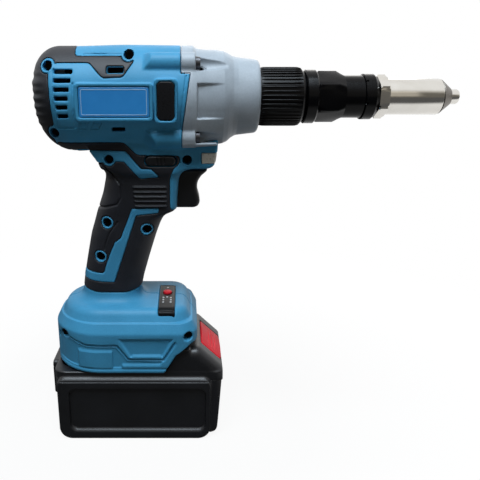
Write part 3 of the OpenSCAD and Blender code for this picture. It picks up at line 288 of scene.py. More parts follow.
def lug_form(y, z):
    """The four long screws' lugs around the barrel, seen along the axis."""
    middle, half = (lug_high + lug_low) / 2, (lug_high - lug_low) / 2
    return np.hypot(np.abs(y) - lug_y, np.abs(z - axis - middle) - half) - lug_r


def barrel_form(x, y, z):
    """The motor barrel with its rounded rear end and the four screw towers, up to the joint."""
    # The rear edge is rounder below than above, and the rear half hangs a little lower.
    r = 20.0 - 4.0 * np.clip((z - axis) / 20, -1, 1)
    across = np.hypot(y, z - axis)
    drop = np.clip((-2 - x) / 40, 0, 1)
    drop = drop * drop * (3 - 2 * drop)
    side = np.hypot(y, z - axis + 1.7 * drop) - (33.0 + 0.5 * drop - np.clip((x + 37) / 84, 0, 1)) + r
    end = -64.0 - x + r
    drum = rounded(side, end, r)
    tower = eased(lug_form(y, z), (3.0 + 1.1 * (across - 29.0) - x) / 1.49, 0.6)
    return eased(fillet(drum, tower, 1.0), joint(x, z) + 0.12, 0.6)


def neck_form(x, y, z):
    """The block under the barrel that carries the trigger and the lamp in its chin."""
    return eased(outline(x, z, neck_line), np.abs(y) - 17.5, 2.2)


def handle_form(x, y, z):
    """The raked handle: round behind, with a rounded front that steps forward at the trigger."""
    back, front, half, r = (np.interp(z, levels, t).astype(np.float32) for t in table)
    r = np.where(x < (back + front) / 2, half - 0.2, r)
    a, b = np.abs(x - (back + front) / 2) - (front - back) / 2 + r, np.abs(y) - half + r
    d = rounded(a, b, r)
    return np.maximum(0.95 * d, np.maximum(z - 210, 92 - z))


def foot_form(x, y, z):
    """The battery foot: upright sides to the brow, a bevel to the crease, and a soft dome above."""
    brow, crease, top, bottom = 83.5, 90.4, 99.5, 54.0
    p = plan(x, y, -61.6, 41.2, 37.5, 35.0, 14.0)
    q = plan(x, y, -61.6, 41.2, 37.5, 35.0, 20.0)
    # Each slope is a plane through a point of the section, divided by its normal's length.
    dome = eased((0.7 * (q + 9.0) + 10.5 * (z - 99.0)) / 10.52, z - top, 3.0)
    dome = eased(dome, (8.6 * (q + 4.7) + 4.3 * (z - crease)) / 9.62, 4.0)
    d = eased(p, (6.9 * p + 3.5 * (z - brow)) / 7.74, 0.5)
    return eased(np.minimum(eased(d, z - crease, 0.3), eased(d, dome, 0.4)), bottom - z, 1.0)


def gear_form(x, y, z):
    """The outside of the gear case: a flange, a long taper, a shoulder and a mouth, with four lugs."""
    r = np.interp(x, (20, 37.0, 46, 57, 60, 63, 66, 76, 82),
                  (32.4, 32.1, 30.2, 28.8, 27.5, 25.8, 25.0, 23.8, 23.1)).astype(np.float32)
    # A step behind the flange on top, a fuller belly below, and a rim under the lower channels.
    step = np.clip((z - axis - 18) / 6, 0, 1) * np.clip((x - 37.6) / 1.6, 0, 1) * np.clip((52 - x) / 10, 0, 1)
    belly = np.clip((axis - z - 8) / 20, 0, 1) * np.clip((66 - x) / 6, 0, 1)
    d = 0.9 * (np.hypot(y, z - axis) - r + 1.1 * step - 1.8 * belly)
    rim = lug_form(y, z) + 0.06 * (x - lug_front)
    rim = eased(rim, np.maximum(x - 53.0, z - axis + 27.6), 1.4)
    return fillet(fillet(d, rim, 1.2), eased(lug_form(y, z), x - lug_front, 0.7), 1.2)


def skin_form(x, y, z):
    """The whole outside of the housing."""
    d = fillet(barrel_form(x, y, z), neck_form(x, y, z), 1.6)
    d = eased(d, -np.maximum(gear_form(x, y, z) - 0.25, -joint(x, z) - 0.1), 0.5)
    return fillet(d, fillet(handle_form(x, y, z), foot_form(x, y, z), 8.0), 9.0)


# Screw places in mm: X, Z and how far out the head's seat lies. Then the outlines of the soft parts.
posts = [(-52, 259.4, 17), (-2.4, 266.2, 13), (-50.4, 219.0, 16), (-17.5, 200.8, 12.5), (33.8, 200.6, 11.5),
         (-20.8, 157.2, 11.5), (6.3, 152.6, 11), (-26.3, 132.8, 11), (34.4, 81.2, 29), (-52.4, 79.2, 20)]
trim_line = softened([(-70, 278), (-49, 278), (-38.6, 278), (-35.4, 265.2), (-8, 265.2), (1.5, 262.5),
                      (-5.5, 252.5), (-18, 252), (-26.5, 261), (-47, 261), (-51, 255), (-49.5, 225),
                      (-52, 218), (-52, 200), (-70, 200)], 1.6)
grip_line = softened([(-51.8, 212.3), (-7, 212.3), (1, 204), (29, 203.7), (29, 198.5), (24.6, 194.5),
                      (22.4, 189), (22.4, 166.5), (34, 163.4), (24, 152.5), (14, 130.7), (8, 109.4),
                      (-8, 106.4), (-30, 106.4), (-47, 108.4), (-46, 130.7), (-38, 190.7), (-38, 207),
                      (-51.8, 204)], 2.5)
stripe_high = softened([(-40, 206.8), (-6.5, 206.5), (3.5, 194.8), (10.3, 194.6), (15.4, 189.2), (2.6, 188),
                        (-7.4, 199.6), (-13, 199.8), (-40, 197)], 1.0)
stripe_low = softened([(-3.5, 167.2), (15, 167.8), (14.3, 164.3), (-0.8, 162.5), (-17.3, 113.9), (-50, 115.3),
                       (-50, 121), (-24.5, 120.7), (-20, 133.8), (-15.8, 143.5), (-11.7, 146.3),
                       (-4, 165.9)], 1.2)
badge_line = softened([(15.1, 229.2), (17.0, 227.3), (24.2, 227.3), (26.1, 229.2), (26.1, 248.4), (24.2, 250.3),
                       (17.0, 250.3), (15.1, 248.4)], 0.7)


def boss_form(x, z, r, chosen):
    """Rings of radius r around the chosen screw places, seen from the side."""
    d = np.float32(1e9)
    for k in chosen:
        d = np.minimum(d, np.hypot(x - posts[k][0], z - posts[k][1]) - r)
    return d


def trim_room(x, z):
    """Where the rear overmould lies, seen from the side."""
    d = np.maximum(outline(x, z, trim_line), -boss_form(x, z, 4.6, (0, 1, 2)))
    return np.maximum(d, -slab(x, z, -15.4, -5.1, 254.9, 258.9, 0.8))


def grip_room(x, z):
    """Where the grip overmould lies, seen from the side, with the two blue stripes left free."""
    d = np.maximum(outline(x, z, grip_line), -outline(x, z, stripe_high))
    d = np.maximum(d, -outline(x, z, stripe_low))
    d = np.maximum(d, -boss_form(x, z, 4.3, (3, 4, 5, 6, 7)))
    return np.maximum(d, -slab(x, z, 5.9, 26.9, 196.5, 203.9, 3.3))


def foot_relief(x, z):
    """How deep the foot's side is sunk, in mm: a groove, a trapezoid with a bar, and low pads."""
    def pad(x0, x1, z0, z1):
        """A pad that stands up to the full skin, with a sloped upper edge."""
        return np.clip((z1 - z) / 1.9, 0, 1) * np.clip(-slab(x, z, x0, x1, z0, z1, 0.5) / 0.6, 0, 1)

    groove = line(x, z, [(-51, 79), (-36.8, 74.8), (-14.8, 74.8), (-7.2, 64.4), (17.6, 64.1),
                         (25.5, 76.9)], 1.6)
    window = outline(x, z, [(-13.6, 80.3), (24.6, 80.3), (17.0, 66.2), (-5.8, 66.2)])
    low = outline(x, z, [(-70, 57.6), (-70, 80), (-51, 78.3), (-37, 74.2), (-15.2, 74.2), (-7.6, 63.7),
                         (17.0, 63.4), (14.4, 57.6)])
    bar = pad(-4.6, 16.2, 60, 68.6)
    pads = np.maximum(pad(-42.5, -17.6, 40, 71.8), pad(-11.8, 17.2, 40, 61.6))
    deep = np.maximum(1.5 * np.clip(0.4 - groove, 0, 1), 1.4 * np.clip(-window / 1.0, 0, 1) * (1 - bar))
    deep = np.maximum(deep, 1.2 * np.clip(-low / 0.9, 0, 1) * (1 - pads))
    return np.maximum(deep, 0.7 * np.clip(1.1 - np.abs(z - 57.2), 0, 1))


def housing_form(side):
    """One half of the housing; side is -1 for the right half and 1 for the left."""
    def form(x, y, z):
        depth = np.abs(y)
        up = z - axis
        skin = skin_form(x, y, z)
        stripes = np.minimum(outline(x, z, stripe_high), outline(x, z, stripe_low))
        rings = boss_form(x, z, 4.2, range(8))
        skin = skin - 0.35 * np.clip(-np.minimum(stripes, rings) / 0.6, 0, 1)
        skin = skin + foot_relief(x, z) * np.clip((depth - 14) / 6, 0, 1) * (z < 83)
        # The raised frames of the label and the badge.
        frames = np.minimum(slab(x, up, -34.8, 12.8, -13.2, 9.4, 2.0),
                            slab(x, up, 13.6, 27.6, -14.5, 12.1, 2.5))
        skin = fillet(skin, eased(eased(frames, depth - 33.8, 0.6), 24 - depth, 0.5), 0.6)
        # Engraved lines: vent panel, crease beside the screw, rim along the joint, two slants.
        marks = np.minimum(line(x, up, [(-36, 9), (-36, -17.4), (-47, -17.4), (-47.8, 17.5)], 0.9),
                           line(x, up, [(-30, 26.4), (-7.7, 26.4)], 1.0))
        marks = np.minimum(marks, line(x, up, [(33.1, 13.5), (28.9, -17)], 0.7))
        for k in (-33.0, -24.9):
            slant = [(k, -14.4), (k + 5.0, -14.4), (k + 3.4, -18.3), (k - 1.6, -18.3)]
            marks = np.minimum(marks, np.abs(outline(x, up, slant)) - 0.3)
        d = eased(skin, -np.maximum(marks, -(skin + 0.7)), 0.4)
        # Rooms for the soft parts, pockets for label and badge.
        soft = np.minimum(trim_room(x, z), grip_room(x, z))
        d = eased(d, -np.maximum(soft, -(skin + 1.8)), 0.3)
        d = eased(d, -np.maximum(slab(x, up, -32.8, 10.8, -11.2, 7.4, 1.2), 32.3 - depth), 0.4)
        d = eased(d, -np.maximum(outline(x, z, badge_line) - 0.3, 32.3 - depth), 0.4)
        # The hollow inside, with the screw posts left standing, closed by the bay's roof below.
        hollow = np.maximum(skin + 4.3, 76.7 - z)
        post = boss_form(x, z, 5.0, range(10))
        d = np.maximum(d, -np.maximum(hollow, -post))
        # The barrel is open towards the gear case, where the pulling train goes through.
        d = np.maximum(d, -np.maximum(np.hypot(y, up) - 27.0, np.abs(x - 30) - 10))
        # Air slots behind the label, in the rear overmould and under the label.
        slots = np.minimum(slab(x, up, -15, -5.5, 15.0, 18.4, 0.5),
                           slab(x, up, -13.6, -5.4, -19.9, -17.4, 0.5))
        pitch = 5.24
        for i, (a, b) in enumerate([(-47.7, -36.2), (-47.7, -37.2), (-47.7, -38.2), (-47.4, -39.0),
                                    (-46.8, -39.6), (-46.2, -39.6)]):
            slots = np.minimum(slots, slab(x, up, a, b, 14.6 - pitch * i, 17.2 - pitch * i, 0.5))
        d = eased(d, -np.maximum(slots, 10 - depth), 0.35)
        # Counterbores for the screw heads on the right, and the shank holes.
        if side < 0:
            for px, pz, seat in posts:
                d = eased(d, -np.maximum(np.hypot(x - px, z - pz) - 3.15, seat - depth), 0.5)
        d = np.maximum(d, -np.maximum(boss_form(x, z, 1.6, range(10)), depth - 29))
        # Openings for trigger, selector, lamp and panel.
        d = eased(d, -np.maximum(np.maximum(depth - 8.9, np.abs(z - 179.7) - 13.9), 12.5 - x), 0.8)
        d = eased(d, -slab(x, z, 6.1, 26.7, 196.7, 203.7, 3.4), 0.5)
        d = np.maximum(d, -np.maximum(43.2 - x, np.abs(z - 201.5) - 3.65))
        pocket = np.maximum(slab(x, y, 13.5, 25.5, -30.4, 15.5, 1.0), -foot_form(x, y, z) - 1.1)
        d = eased(d, -np.maximum(pocket, np.abs(z - 98) - 14), 0.3)
        # The battery bay with its rails, the terminal window, and the cut-away front of the skirts.
        rail = np.maximum(np.maximum(29.8 - depth, np.abs(z - 58.6) - 2.0), x - 38)
        bay = np.maximum(plan(x, y, -58.5, 100, 34.2, 30.0, 1.0), z - 74.2)
        d = eased(d, -np.maximum(bay, -rail), 0.5)
        d = np.maximum(d, -np.maximum(slab(x, y, -58, -44, -17, 17, 0.5), np.abs(z - 75.7) - 2.5))
        d = eased(d, -outline(x, z, [(18, 44), (18, 54), (26, 67.5), (36.5, 75.2), (60, 79), (60, 44)]), 0.8)
        return eased(d, side * -y + 0.03, 0.5)
    return form


# Blue glass-filled nylon, moulded: a satin skin with a fine spark-eroded grain, drawn at 0.9 mm.
blue = plastic("blue_glass_nylon", "3b84a8", "4593ba", 0.44, 0.9, 0.06, **{"Specular IOR Level": 0.19})
for name, side in (("right", -1), ("left", 1)):
    ys = (-39.0, 0.3) if side < 0 else (-0.3, 39.0)
    shell = moulded("housing_shell_" + name, housing_form(side),
                    (-65, ys[0], 53), (56, ys[1], 275), 0.6, 198000)
    placed(shell, blue, "tool", "housing_" + name)

# Rear overmould, soft rubber moulded over the barrel's end and shoulder.
# It stands 0.2 mm proud of the housing; low ribs cross the bumper behind.
# Thermoplastic rubber: matt, dark grey, with a fine leathery grain that catches a dull light.
rubber = plastic("soft_rubber", "18191d", "23242a", 0.5, 1.0, 0.12, **{"Specular IOR Level": 0.3})


def trim_form(side):
    """One half of the rear overmould; the ribs are 5.2 mm apart, and one stands higher."""
    def form(x, y, z):
        skin = skin_form(x, y, z)
        up = z - axis
        ribs = 0.25 * np.clip((20 - np.abs(up + 2)) / 4, 0, 1) * np.cos(up * 2 * np.pi / 5.2)
        ribs = ribs + 0.7 * np.exp(-((up - 8.5) / 1.8) ** 2)
        d = eased(skin - 0.2 - ribs * np.clip((-52 - x) / 6, 0, 1), -(skin + 1.6), 0.5)
        d = eased(d, trim_room(x, z) + 0.18, 0.6)
        return eased(d, side * -y + 0.03, 0.5)
    return form


for name, side in (("right", -1), ("left", 1)):
    ys = (-34.5, 0.3) if side < 0 else (-0.3, 34.5)
    trim = moulded("rear_bumper_" + name, trim_form(side), (-66, ys[0], 203), (4, ys[1], 275), 0.5, 120000)
    placed(trim, rubber, "tool", "rear_trim_" + name)

# Grip overmould, the same rubber around the belly and the handle.
# It has a thumb pad set off by a fine groove, and five narrow ribs under the first finger.


def grip_form(side):
    """One half of the grip overmould, with its ribs and its two grooves."""
    def form(x, y, z):
        skin = skin_form(x, y, z)
        proud = np.zeros_like(x + z)
        pitch = 3.25
        for i in range(5):
            rib = slab(x, z, -2.7 + 0.3 * i, 20.2, 181.5 - pitch * i, 183.3 - pitch * i, 0.6)
            proud = np.maximum(proud, 1.3 * np.clip(-rib / 0.7, 0, 1))
        seam = line(x, z, [(-26, 201), (-17.3, 192.2), (-10.6, 183.6), (-10.9, 174.9), (-13.6, 170.2),
                           (-22.2, 167.4), (-32, 165)], 0.7)
        seam = np.minimum(seam, line(x, z, [(-13.6, 158), (-19.5, 150), (-22.5, 142), (-23.5, 138)], 0.5))
        proud = proud - 1.1 * np.clip(0.6 - seam, 0, 1)
        d = eased(skin - 0.2 - proud, -(skin + 1.6), 0.5)
        d = eased(d, grip_room(x, z) + 0.18, 0.6)
        d = eased(d, -np.maximum(np.maximum(np.abs(y) - 9.2, np.abs(z - 179.7) - 14.2), 12.5 - x), 0.6)
        return eased(d, side * -y + 0.03, 0.5)
    return form


for name, side in (("right", -1), ("left", 1)):
    ys = (-33, 0.3) if side < 0 else (-0.3, 33)
    grip = moulded("grip_rubber_" + name, grip_form(side), (-53, ys[0], 105), (36, ys[1], 214), 0.46, 180000)
    placed(grip, rubber, "tool", "grip_" + name)

# Side plates: a printed polycarbonate film in the long frame, left plain but for a pale edge
# rule, and a bare black moulded insert in the short one.
# Polycarbonate film, printed behind: a smooth clear blue under a thin gloss.
film = plastic("label_film", "2880c4", "318cd0", 0.3, 6.0, 0.01, 30.0,
               **{"Coat Weight": 0.25, "Coat Roughness": 0.15})
# Pale printing ink: a thin even line.
rule = plastic("label_rule", "8fb4d2", "9abddb", 0.35, 6.0, 0.01)
# Black nylon insert: smooth and dark, with a soft sheen.
insert = plastic("black_insert", "0b0c0e", "14151a", 0.28, 1.4, 0.03, **{"Specular IOR Level": 0.4})
plate_depth = 32.95


def plate_form(x, y, z):
    return eased(slab(x, z - axis, -32.4, 10.4, -10.8, 7.0, 1.0), np.abs(np.abs(y) - plate_depth) - 0.5, 0.35)


def rule_form(x, y, z):
    frame_line = np.abs(slab(x, z - axis, -31.0, 9.0, -9.4, 5.6, 1.0)) - 0.28
    return eased(frame_line, np.abs(np.abs(y) - 33.46) - 0.08, 0.1)


def badge_form(x, y, z):
    return eased(outline(x, z, badge_line) + 0.1, np.abs(np.abs(y) - plate_depth) - 0.6, 0.5)


for name, side in (("right", -1), ("left", 1)):
    ys = (-33.8, -32.2) if side < 0 else (32.2, 33.8)
    plate = moulded("label_plate_" + name, plate_form, (-33, ys[0], 228.6), (11, ys[1], 248), 0.25, 60000)
    placed(plate, film, "tool", "side_label_" + name)
    edge = moulded("label_edge_" + name, rule_form, (-32, ys[0], 230), (10, ys[1], 246.4), 0.16, 60000)
    placed(edge, rule, "tool", None)
    badge = moulded("badge_insert_" + name, badge_form,
                    (14.6, ys[0], 226.8), (26.6, ys[1], 250.8), 0.22, 60000)
    placed(badge, insert, "tool", "side_badge_" + name)

# Gear case, a die casting in light metal with grey satin paint.
# It has a sunken band on each side, and a screwdriver channel in front of each lug.
grey = plastic("grey_painted_casting", "989fa6", "aeb5bc", 0.42, 1.1, 0.05, 16.0, **{"Specular IOR Level": 0.3})


def gear_case_form(x, y, z):
    """The gear case with its bands, its channels and the room for the gear stage."""
    across = np.hypot(y, z - axis)
    d = eased(gear_form(x, y, z), x - 80.4, 2.4)
    band_start = 39.6
    band = np.maximum(np.abs(z - axis + 1.6) - 10.8, band_start - x)
    d = d + 2.2 * np.clip(1 - (x - band_start) / 18, 0, 1) * np.clip(-band / 0.9, 0, 1) * (np.abs(y) > 18)
    channel = lug_form(y, z) + np.where(z > axis, 0.2, 1.6) + 0.18 * (x - lug_front)
    d = eased(d, -np.maximum(channel, lug_front - x), 0.5)
    room = np.minimum(across - np.interp(x, (20, 52, 60, 82), (26.2, 24.6, 18, 17)).astype(np.float32),
                      lug_form(y, z) + 4.1)
    d = np.maximum(d, -np.maximum(room, x - 74))
    d = np.maximum(d, 14.2 - across)
    return eased(d, -joint(x, z) + 0.12, 0.6)


case = moulded("gear_case", gear_case_form, (27, -33, 208), (81, 33, 272), 0.5, 195000)
placed(case, grey, "tool", "gearbox_case")

# Nose train, turned and milled steel: ribbed sleeve, hex adapter, lock nut, barrel and nosepiece.
# The first three are blackened, the others are bright plated, and all share the barrel's axis.


def turned(name, profile, across_flats=None, around=120, notches=None):
    """Spins a closed (x, r) profile about the axis; flats cut it to a hexagon with a corner on top."""
    profile = np.asarray(profile, float)
    angle = np.linspace(0, 2 * np.pi, around, endpoint=False)
    r = np.repeat(profile[:, 1:2], around, 1)
    if across_flats:
        flat = across_flats / 2 / np.cos(angle % (np.pi / 3) - np.pi / 6)
        outer = r > across_flats / 2 - 3
        r = np.where(outer, np.minimum(r, flat[None, :]), r)
    if notches:
        r = notches(profile, angle, r)
    along = np.repeat(profile[:, :1], around, 1)
    points = np.stack([along, r * np.sin(angle), axis + r * np.cos(angle)], -1) / 1000
    n = len(profile)
    faces = []
    for i in range(n):
        k = (i + 1) % n
        for j in range(around):
            m = (j + 1) % around
            faces.append((i * around + j, k * around + j, k * around + m, i * around + m))
    mesh = bpy.data.meshes.new(name)
    mesh.from_pydata(points.reshape(-1, 3).tolist(), [], faces)
    mesh.update()
    mesh.shade_smooth()
    mesh.set_sharp_from_angle(angle=math.radians(32))
    piece = bpy.data.objects.new(name, mesh)
    scene.collection.objects.link(piece)
    return piece


def metal(name, dark, light, rough, ring, depth, **shader):
    """A turned surface: fine rings along the axis, ring mm apart, and a slow change of gloss."""
    def pattern(tree, place):
        long = node(tree, "ShaderNodeMapping", {"Scale": (1000 / ring, 25, 25), "Vector": place})
        rings = node(tree, "ShaderNodeTexNoise", {"Scale": 1.0, "Detail": 2.0, "Vector": long})
        return node(tree, "ShaderNodeTexNoise", {"Scale": 90.0, "Detail": 2.0, "Vector": place}), rings
    return surface(name, pattern, dark, light, rough - 0.04, rough + 0.06, 0.4, depth, shader)


def made_by_tree(name, source, tree, values):
    """Puts a node tree on a source mesh, sets its named inputs, and keeps the result as plain mesh."""
    piece = bpy.data.objects.new(name, source)
    scene.collection.objects.link(piece)
    work = piece.modifiers.new("build", "NODES")
    work.node_group = tree
    for socket in tree.interface.items_tree:
        if socket.in_out == "INPUT" and socket.name in values:
            work[socket.identifier] = values[socket.name]
    bpy.context.view_layer.update()
    plain = bpy.data.meshes.new_from_object(piece.evaluated_get(bpy.context.evaluated_depsgraph_get()))
    piece.modifiers.clear()
    piece.data = plain
    plain.name = name
    return piece


def new_tree(name, inputs):
    """A geometry tree with its named inputs; gives the tree, its input node and its output node."""
    tree = bpy.data.node_groups.new(name, "GeometryNodeTree")
    tree.interface.new_socket(name="Geometry", in_out="OUTPUT", socket_type="NodeSocketGeometry")
    tree.interface.new_socket(name="Geometry", in_out="INPUT", socket_type="NodeSocketGeometry")
    for label, kind in inputs:
        tree.interface.new_socket(name=label, in_out="INPUT", socket_type=kind)
    return tree, node(tree, "NodeGroupInput"), node(tree, "NodeGroupOutput")


# Black oxide on turned steel: near black and oiled, with a narrow clean highlight along the top.
black_steel = metal("black_oxide_steel", "030304", "070709", 0.2, 0.8, 0.008,
                    **{"Metallic": 0.0, "Specular IOR Level": 0.12})
# Bright nickel plate on turned steel: mirror-like along the axis, with faint turning rings.
bright_steel = metal("nickel_plated_steel", "d2cec6", "e4e2dd", 0.15, 0.7, 0.008, **{"Metallic": 1.0})

# The sleeve's 42 ribs are bars laid around a plain core by a node tree.
core = turned("sleeve_core", [(80.6, 14.2), (80.6, 18.2), (107.8, 18.2), (110.4, 16.1), (110.5, 14.2)])
tree, given, result = new_tree("ribs_around", [("Count", "NodeSocketInt"), ("Length", "NodeSocketFloat"),
                               ("Rib radius", "NodeSocketFloat"), ("Pitch radius", "NodeSocketFloat"),
                               ("Start", "NodeSocketFloat"), ("Height", "NodeSocketFloat"),
                               ("Material", "NodeSocketMaterial")])
end = node(tree, "ShaderNodeCombineXYZ", {"X": given.outputs["Length"]})
path = node(tree, "GeometryNodeCurvePrimitiveLine", {"End": end})
path = node(tree, "GeometryNodeResampleCurve", {"Count": 13, "Curve": path})
along = node(tree, "GeometryNodeSplineParameter")
# Each rib keeps its width along its length and narrows to a quarter at both ends.
ends = maths(tree, "MULTIPLY_ADD", along.outputs["Factor"], 2.0, -1.0)
ends = maths(tree, "ABSOLUTE", ends)
ends = maths(tree, "POWER", ends, 12.0)
ends = maths(tree, "MULTIPLY_ADD", ends, -0.75, 1.0)
ring = node(tree, "GeometryNodeCurvePrimitiveCircle",
            {"Resolution": 10, "Radius": given.outputs["Rib radius"]})
bar = node(tree, "GeometryNodeCurveToMesh", {"Fill Caps": True, "Curve": path, "Profile Curve": ring})
if "Scale" in bar.inputs:
    tree.links.new(ends.outputs[0], bar.inputs["Scale"])
row = node(tree, "GeometryNodeMeshLine", {"Count": given.outputs["Count"]})
index = node(tree, "GeometryNodeInputIndex")
step = maths(tree, "DIVIDE", 2 * math.pi, given.outputs["Count"])
turn = maths(tree, "MULTIPLY", index, step)
sine = maths(tree, "SINE", turn)
cosine = maths(tree, "COSINE", turn)
py = maths(tree, "MULTIPLY", sine, given.outputs["Pitch radius"])
pz = maths(tree, "MULTIPLY_ADD", cosine, given.outputs["Pitch radius"], given.outputs["Height"])
spot = node(tree, "ShaderNodeCombineXYZ", {"X": given.outputs["Start"], "Y": py, "Z": pz})
row = node(tree, "GeometryNodeSetPosition", {"Geometry": row, "Position": spot})
bars = node(tree, "GeometryNodeInstanceOnPoints", {"Points": row, "Instance": bar})
whole = node(tree, "GeometryNodeJoinGeometry", {"Geometry": bars})
tree.links.new(given.outputs["Geometry"], whole.inputs[0])
whole = node(tree, "GeometryNodeRealizeInstances", {"Geometry": whole})
whole = node(tree, "GeometryNodeSetShadeSmooth", {"Geometry": whole})
whole = node(tree, "GeometryNodeSetMaterial", {"Geometry": whole, "Material": given.outputs["Material"]})
tree.links.new(whole.outputs[0], result.inputs[0])
source = core.data
bpy.data.objects.remove(core)
sleeve = made_by_tree("ribbed_sleeve_turned", source, tree,
                      {"Count": 42, "Length": 0.0268, "Rib radius": 0.0008, "Pitch radius": 0.0182,
                       "Start": 0.0811, "Height": axis / 1000, "Material": black_steel})
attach(sleeve, "tool")
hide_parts("ribbed_sleeve")

# Each profile is a list of X and radius in mm, closed by its bore.
adapter = turned("hex_adapter_collar", [(110.6, 12.0), (110.6, 16.6), (111.3, 17.3), (117.4, 17.3),
                                        (118.4, 16.3), (118.4, 12.0)])
head = turned("hex_adapter_head", [(118.4, 12.0), (118.4, 15.2), (120.0, 16.5), (131.4, 16.5),
                                   (136.4, 13.8), (136.4, 12.0)], across_flats=28.6, around=144)
shank = turned("hex_adapter_neck", [(136.4, 12.0), (136.4, 13.7), (148.5, 13.7), (148.9, 13.3), (148.9, 12.0)])
for part in (adapter, head, shank):
    placed(part, black_steel, "tool", None)
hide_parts("hex_adapter")


def six_notches(profile, angle, r):
    """Six narrow notches in the lock nut's rear edge."""
    notch_end, notch_r = 150.6, 13.6
    there = np.abs((angle + np.pi / 12) % (np.pi / 3) - np.pi / 6) < 0.04
    deep = there[None, :] & (profile[:, :1] < notch_end)
    return np.where(deep & (r > 13), notch_r, r)


lock = turned("lock_nut_turned", [(149.0, 12.0), (149.0, 14.2), (149.4, 14.7), (150.5, 14.7), (150.8, 14.7),
                                  (155.6, 14.7), (158.3, 12.4), (158.3, 12.0)], around=144, notches=six_notches)
placed(lock, black_steel, "tool", "lock_nut")

flats = turned("barrel_hex", [(158.5, 9.4), (158.5, 13.2), (159.3, 14.2), (163.9, 14.2), (164.8, 12.9),
                              (164.8, 9.4)], across_flats=24.6, around=144)
tube = turned("barrel_tube", [(164.8, 9.4), (164.8, 11.6), (180, 11.6), (199.5, 11.6), (200.1, 11.4),
                              (200.4, 11.0), (200.4, 9.4)])
for part in (flats, tube):
    placed(part, bright_steel, "tool", None)
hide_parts("nose_barrel")

# The nosepiece has a cone that was turned and left dull, and a polished tip with the bore.
# Turned steel, not plated: warm grey, with tool marks that spread the light.
dull_steel = metal("turned_steel_dull", "6f6a64", "837e78", 0.38, 0.6, 0.02, **{"Metallic": 1.0})
cone = turned("nosepiece_cone", [(200.6, 3.0), (200.6, 10.8), (201.0, 11.1), (207.7, 5.7), (207.7, 3.0)])
tip = turned("nosepiece_tip", [(207.7, 1.7), (207.7, 4.8), (212.3, 4.8), (213.2, 4.3), (213.5, 3.6),
                               (213.5, 2.4), (213.1, 1.7)])
for part, finish in ((cone, dull_steel), (tip, bright_steel)):
    placed(part, finish, "tool", None)
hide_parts("nosepiece")

# Screws: ten thread-forming ones in the housing, four in the gear case's lugs, four under the battery.
# Each has a low head with a hexagon socket. A node tree sets them on their seats.
tree, given, result = new_tree("screws_on_seats", [
                               ("Head radius", "NodeSocketFloat"), ("Head top", "NodeSocketFloat"),
                               ("Head height", "NodeSocketFloat"), ("Socket radius", "NodeSocketFloat"),
                               ("Shank radius", "NodeSocketFloat"), ("Turn", "NodeSocketVector"),
                               ("Material", "NodeSocketMaterial")])
cap = node(tree, "GeometryNodeMeshCone",
           {"Vertices": 36, "Radius Bottom": given.outputs["Head radius"],
            "Radius Top": given.outputs["Head top"], "Depth": given.outputs["Head height"]})
hole = node(tree, "GeometryNodeMeshCylinder",
            {"Vertices": 6, "Radius": given.outputs["Socket radius"],
             "Depth": given.outputs["Head height"]})
lift = node(tree, "ShaderNodeCombineXYZ", {"Z": given.outputs["Head height"]})
hole = node(tree, "GeometryNodeTransform", {"Geometry": hole, "Translation": lift})
cap = node(tree, "GeometryNodeMeshBoolean",
           {"operation": "DIFFERENCE", "solver": "EXACT", "Mesh 1": cap, "Mesh 2": hole})
stem = node(tree, "GeometryNodeMeshCylinder",
            {"Vertices": 20, "Depth": 1.0, "Radius": given.outputs["Shank radius"]})
stem = node(tree, "GeometryNodeTransform", {"Translation": (0, 0, -0.5), "Geometry": stem})
length = node(tree, "GeometryNodeInputNamedAttribute", {"data_type": "FLOAT", "Name": "length"})
stretch = node(tree, "ShaderNodeCombineXYZ", {"X": 1.0, "Y": 1.0, "Z": length})
turn = node(tree, "FunctionNodeEulerToRotation", {0: given.outputs["Turn"]})
caps = node(tree, "GeometryNodeInstanceOnPoints",
            {"Points": given.outputs["Geometry"], "Instance": cap, "Rotation": turn})
stems = node(tree, "GeometryNodeInstanceOnPoints",
             {"Points": given.outputs["Geometry"], "Instance": stem, "Rotation": turn, "Scale": stretch})
whole = node(tree, "GeometryNodeJoinGeometry", {"Geometry": caps})
tree.links.new(stems.outputs[0], whole.inputs[0])
whole = node(tree, "GeometryNodeRealizeInstances", {"Geometry": whole})
whole = node(tree, "GeometryNodeSetMaterial", {"Geometry": whole, "Material": given.outputs["Material"]})
tree.links.new(whole.outputs[0], result.inputs[0])

# Zinc plate on cold-headed steel: grey with a soft sheen, and darker in the socket.
zinc = metal("zinc_plated_steel", "3c3d40", "5e5f63", 0.28, 0.9, 0.01, **{"Metallic": 0.9})
# Each seat is a place in mm and the length of the shank behind it.
housing_seats = [(px, -seat, pz, 2 * seat - 5) for px, pz, seat in posts]
gear_seats = [(lug_front, a, axis + b, 23.5) for a in (-lug_y, lug_y) for b in (lug_low, lug_high)]
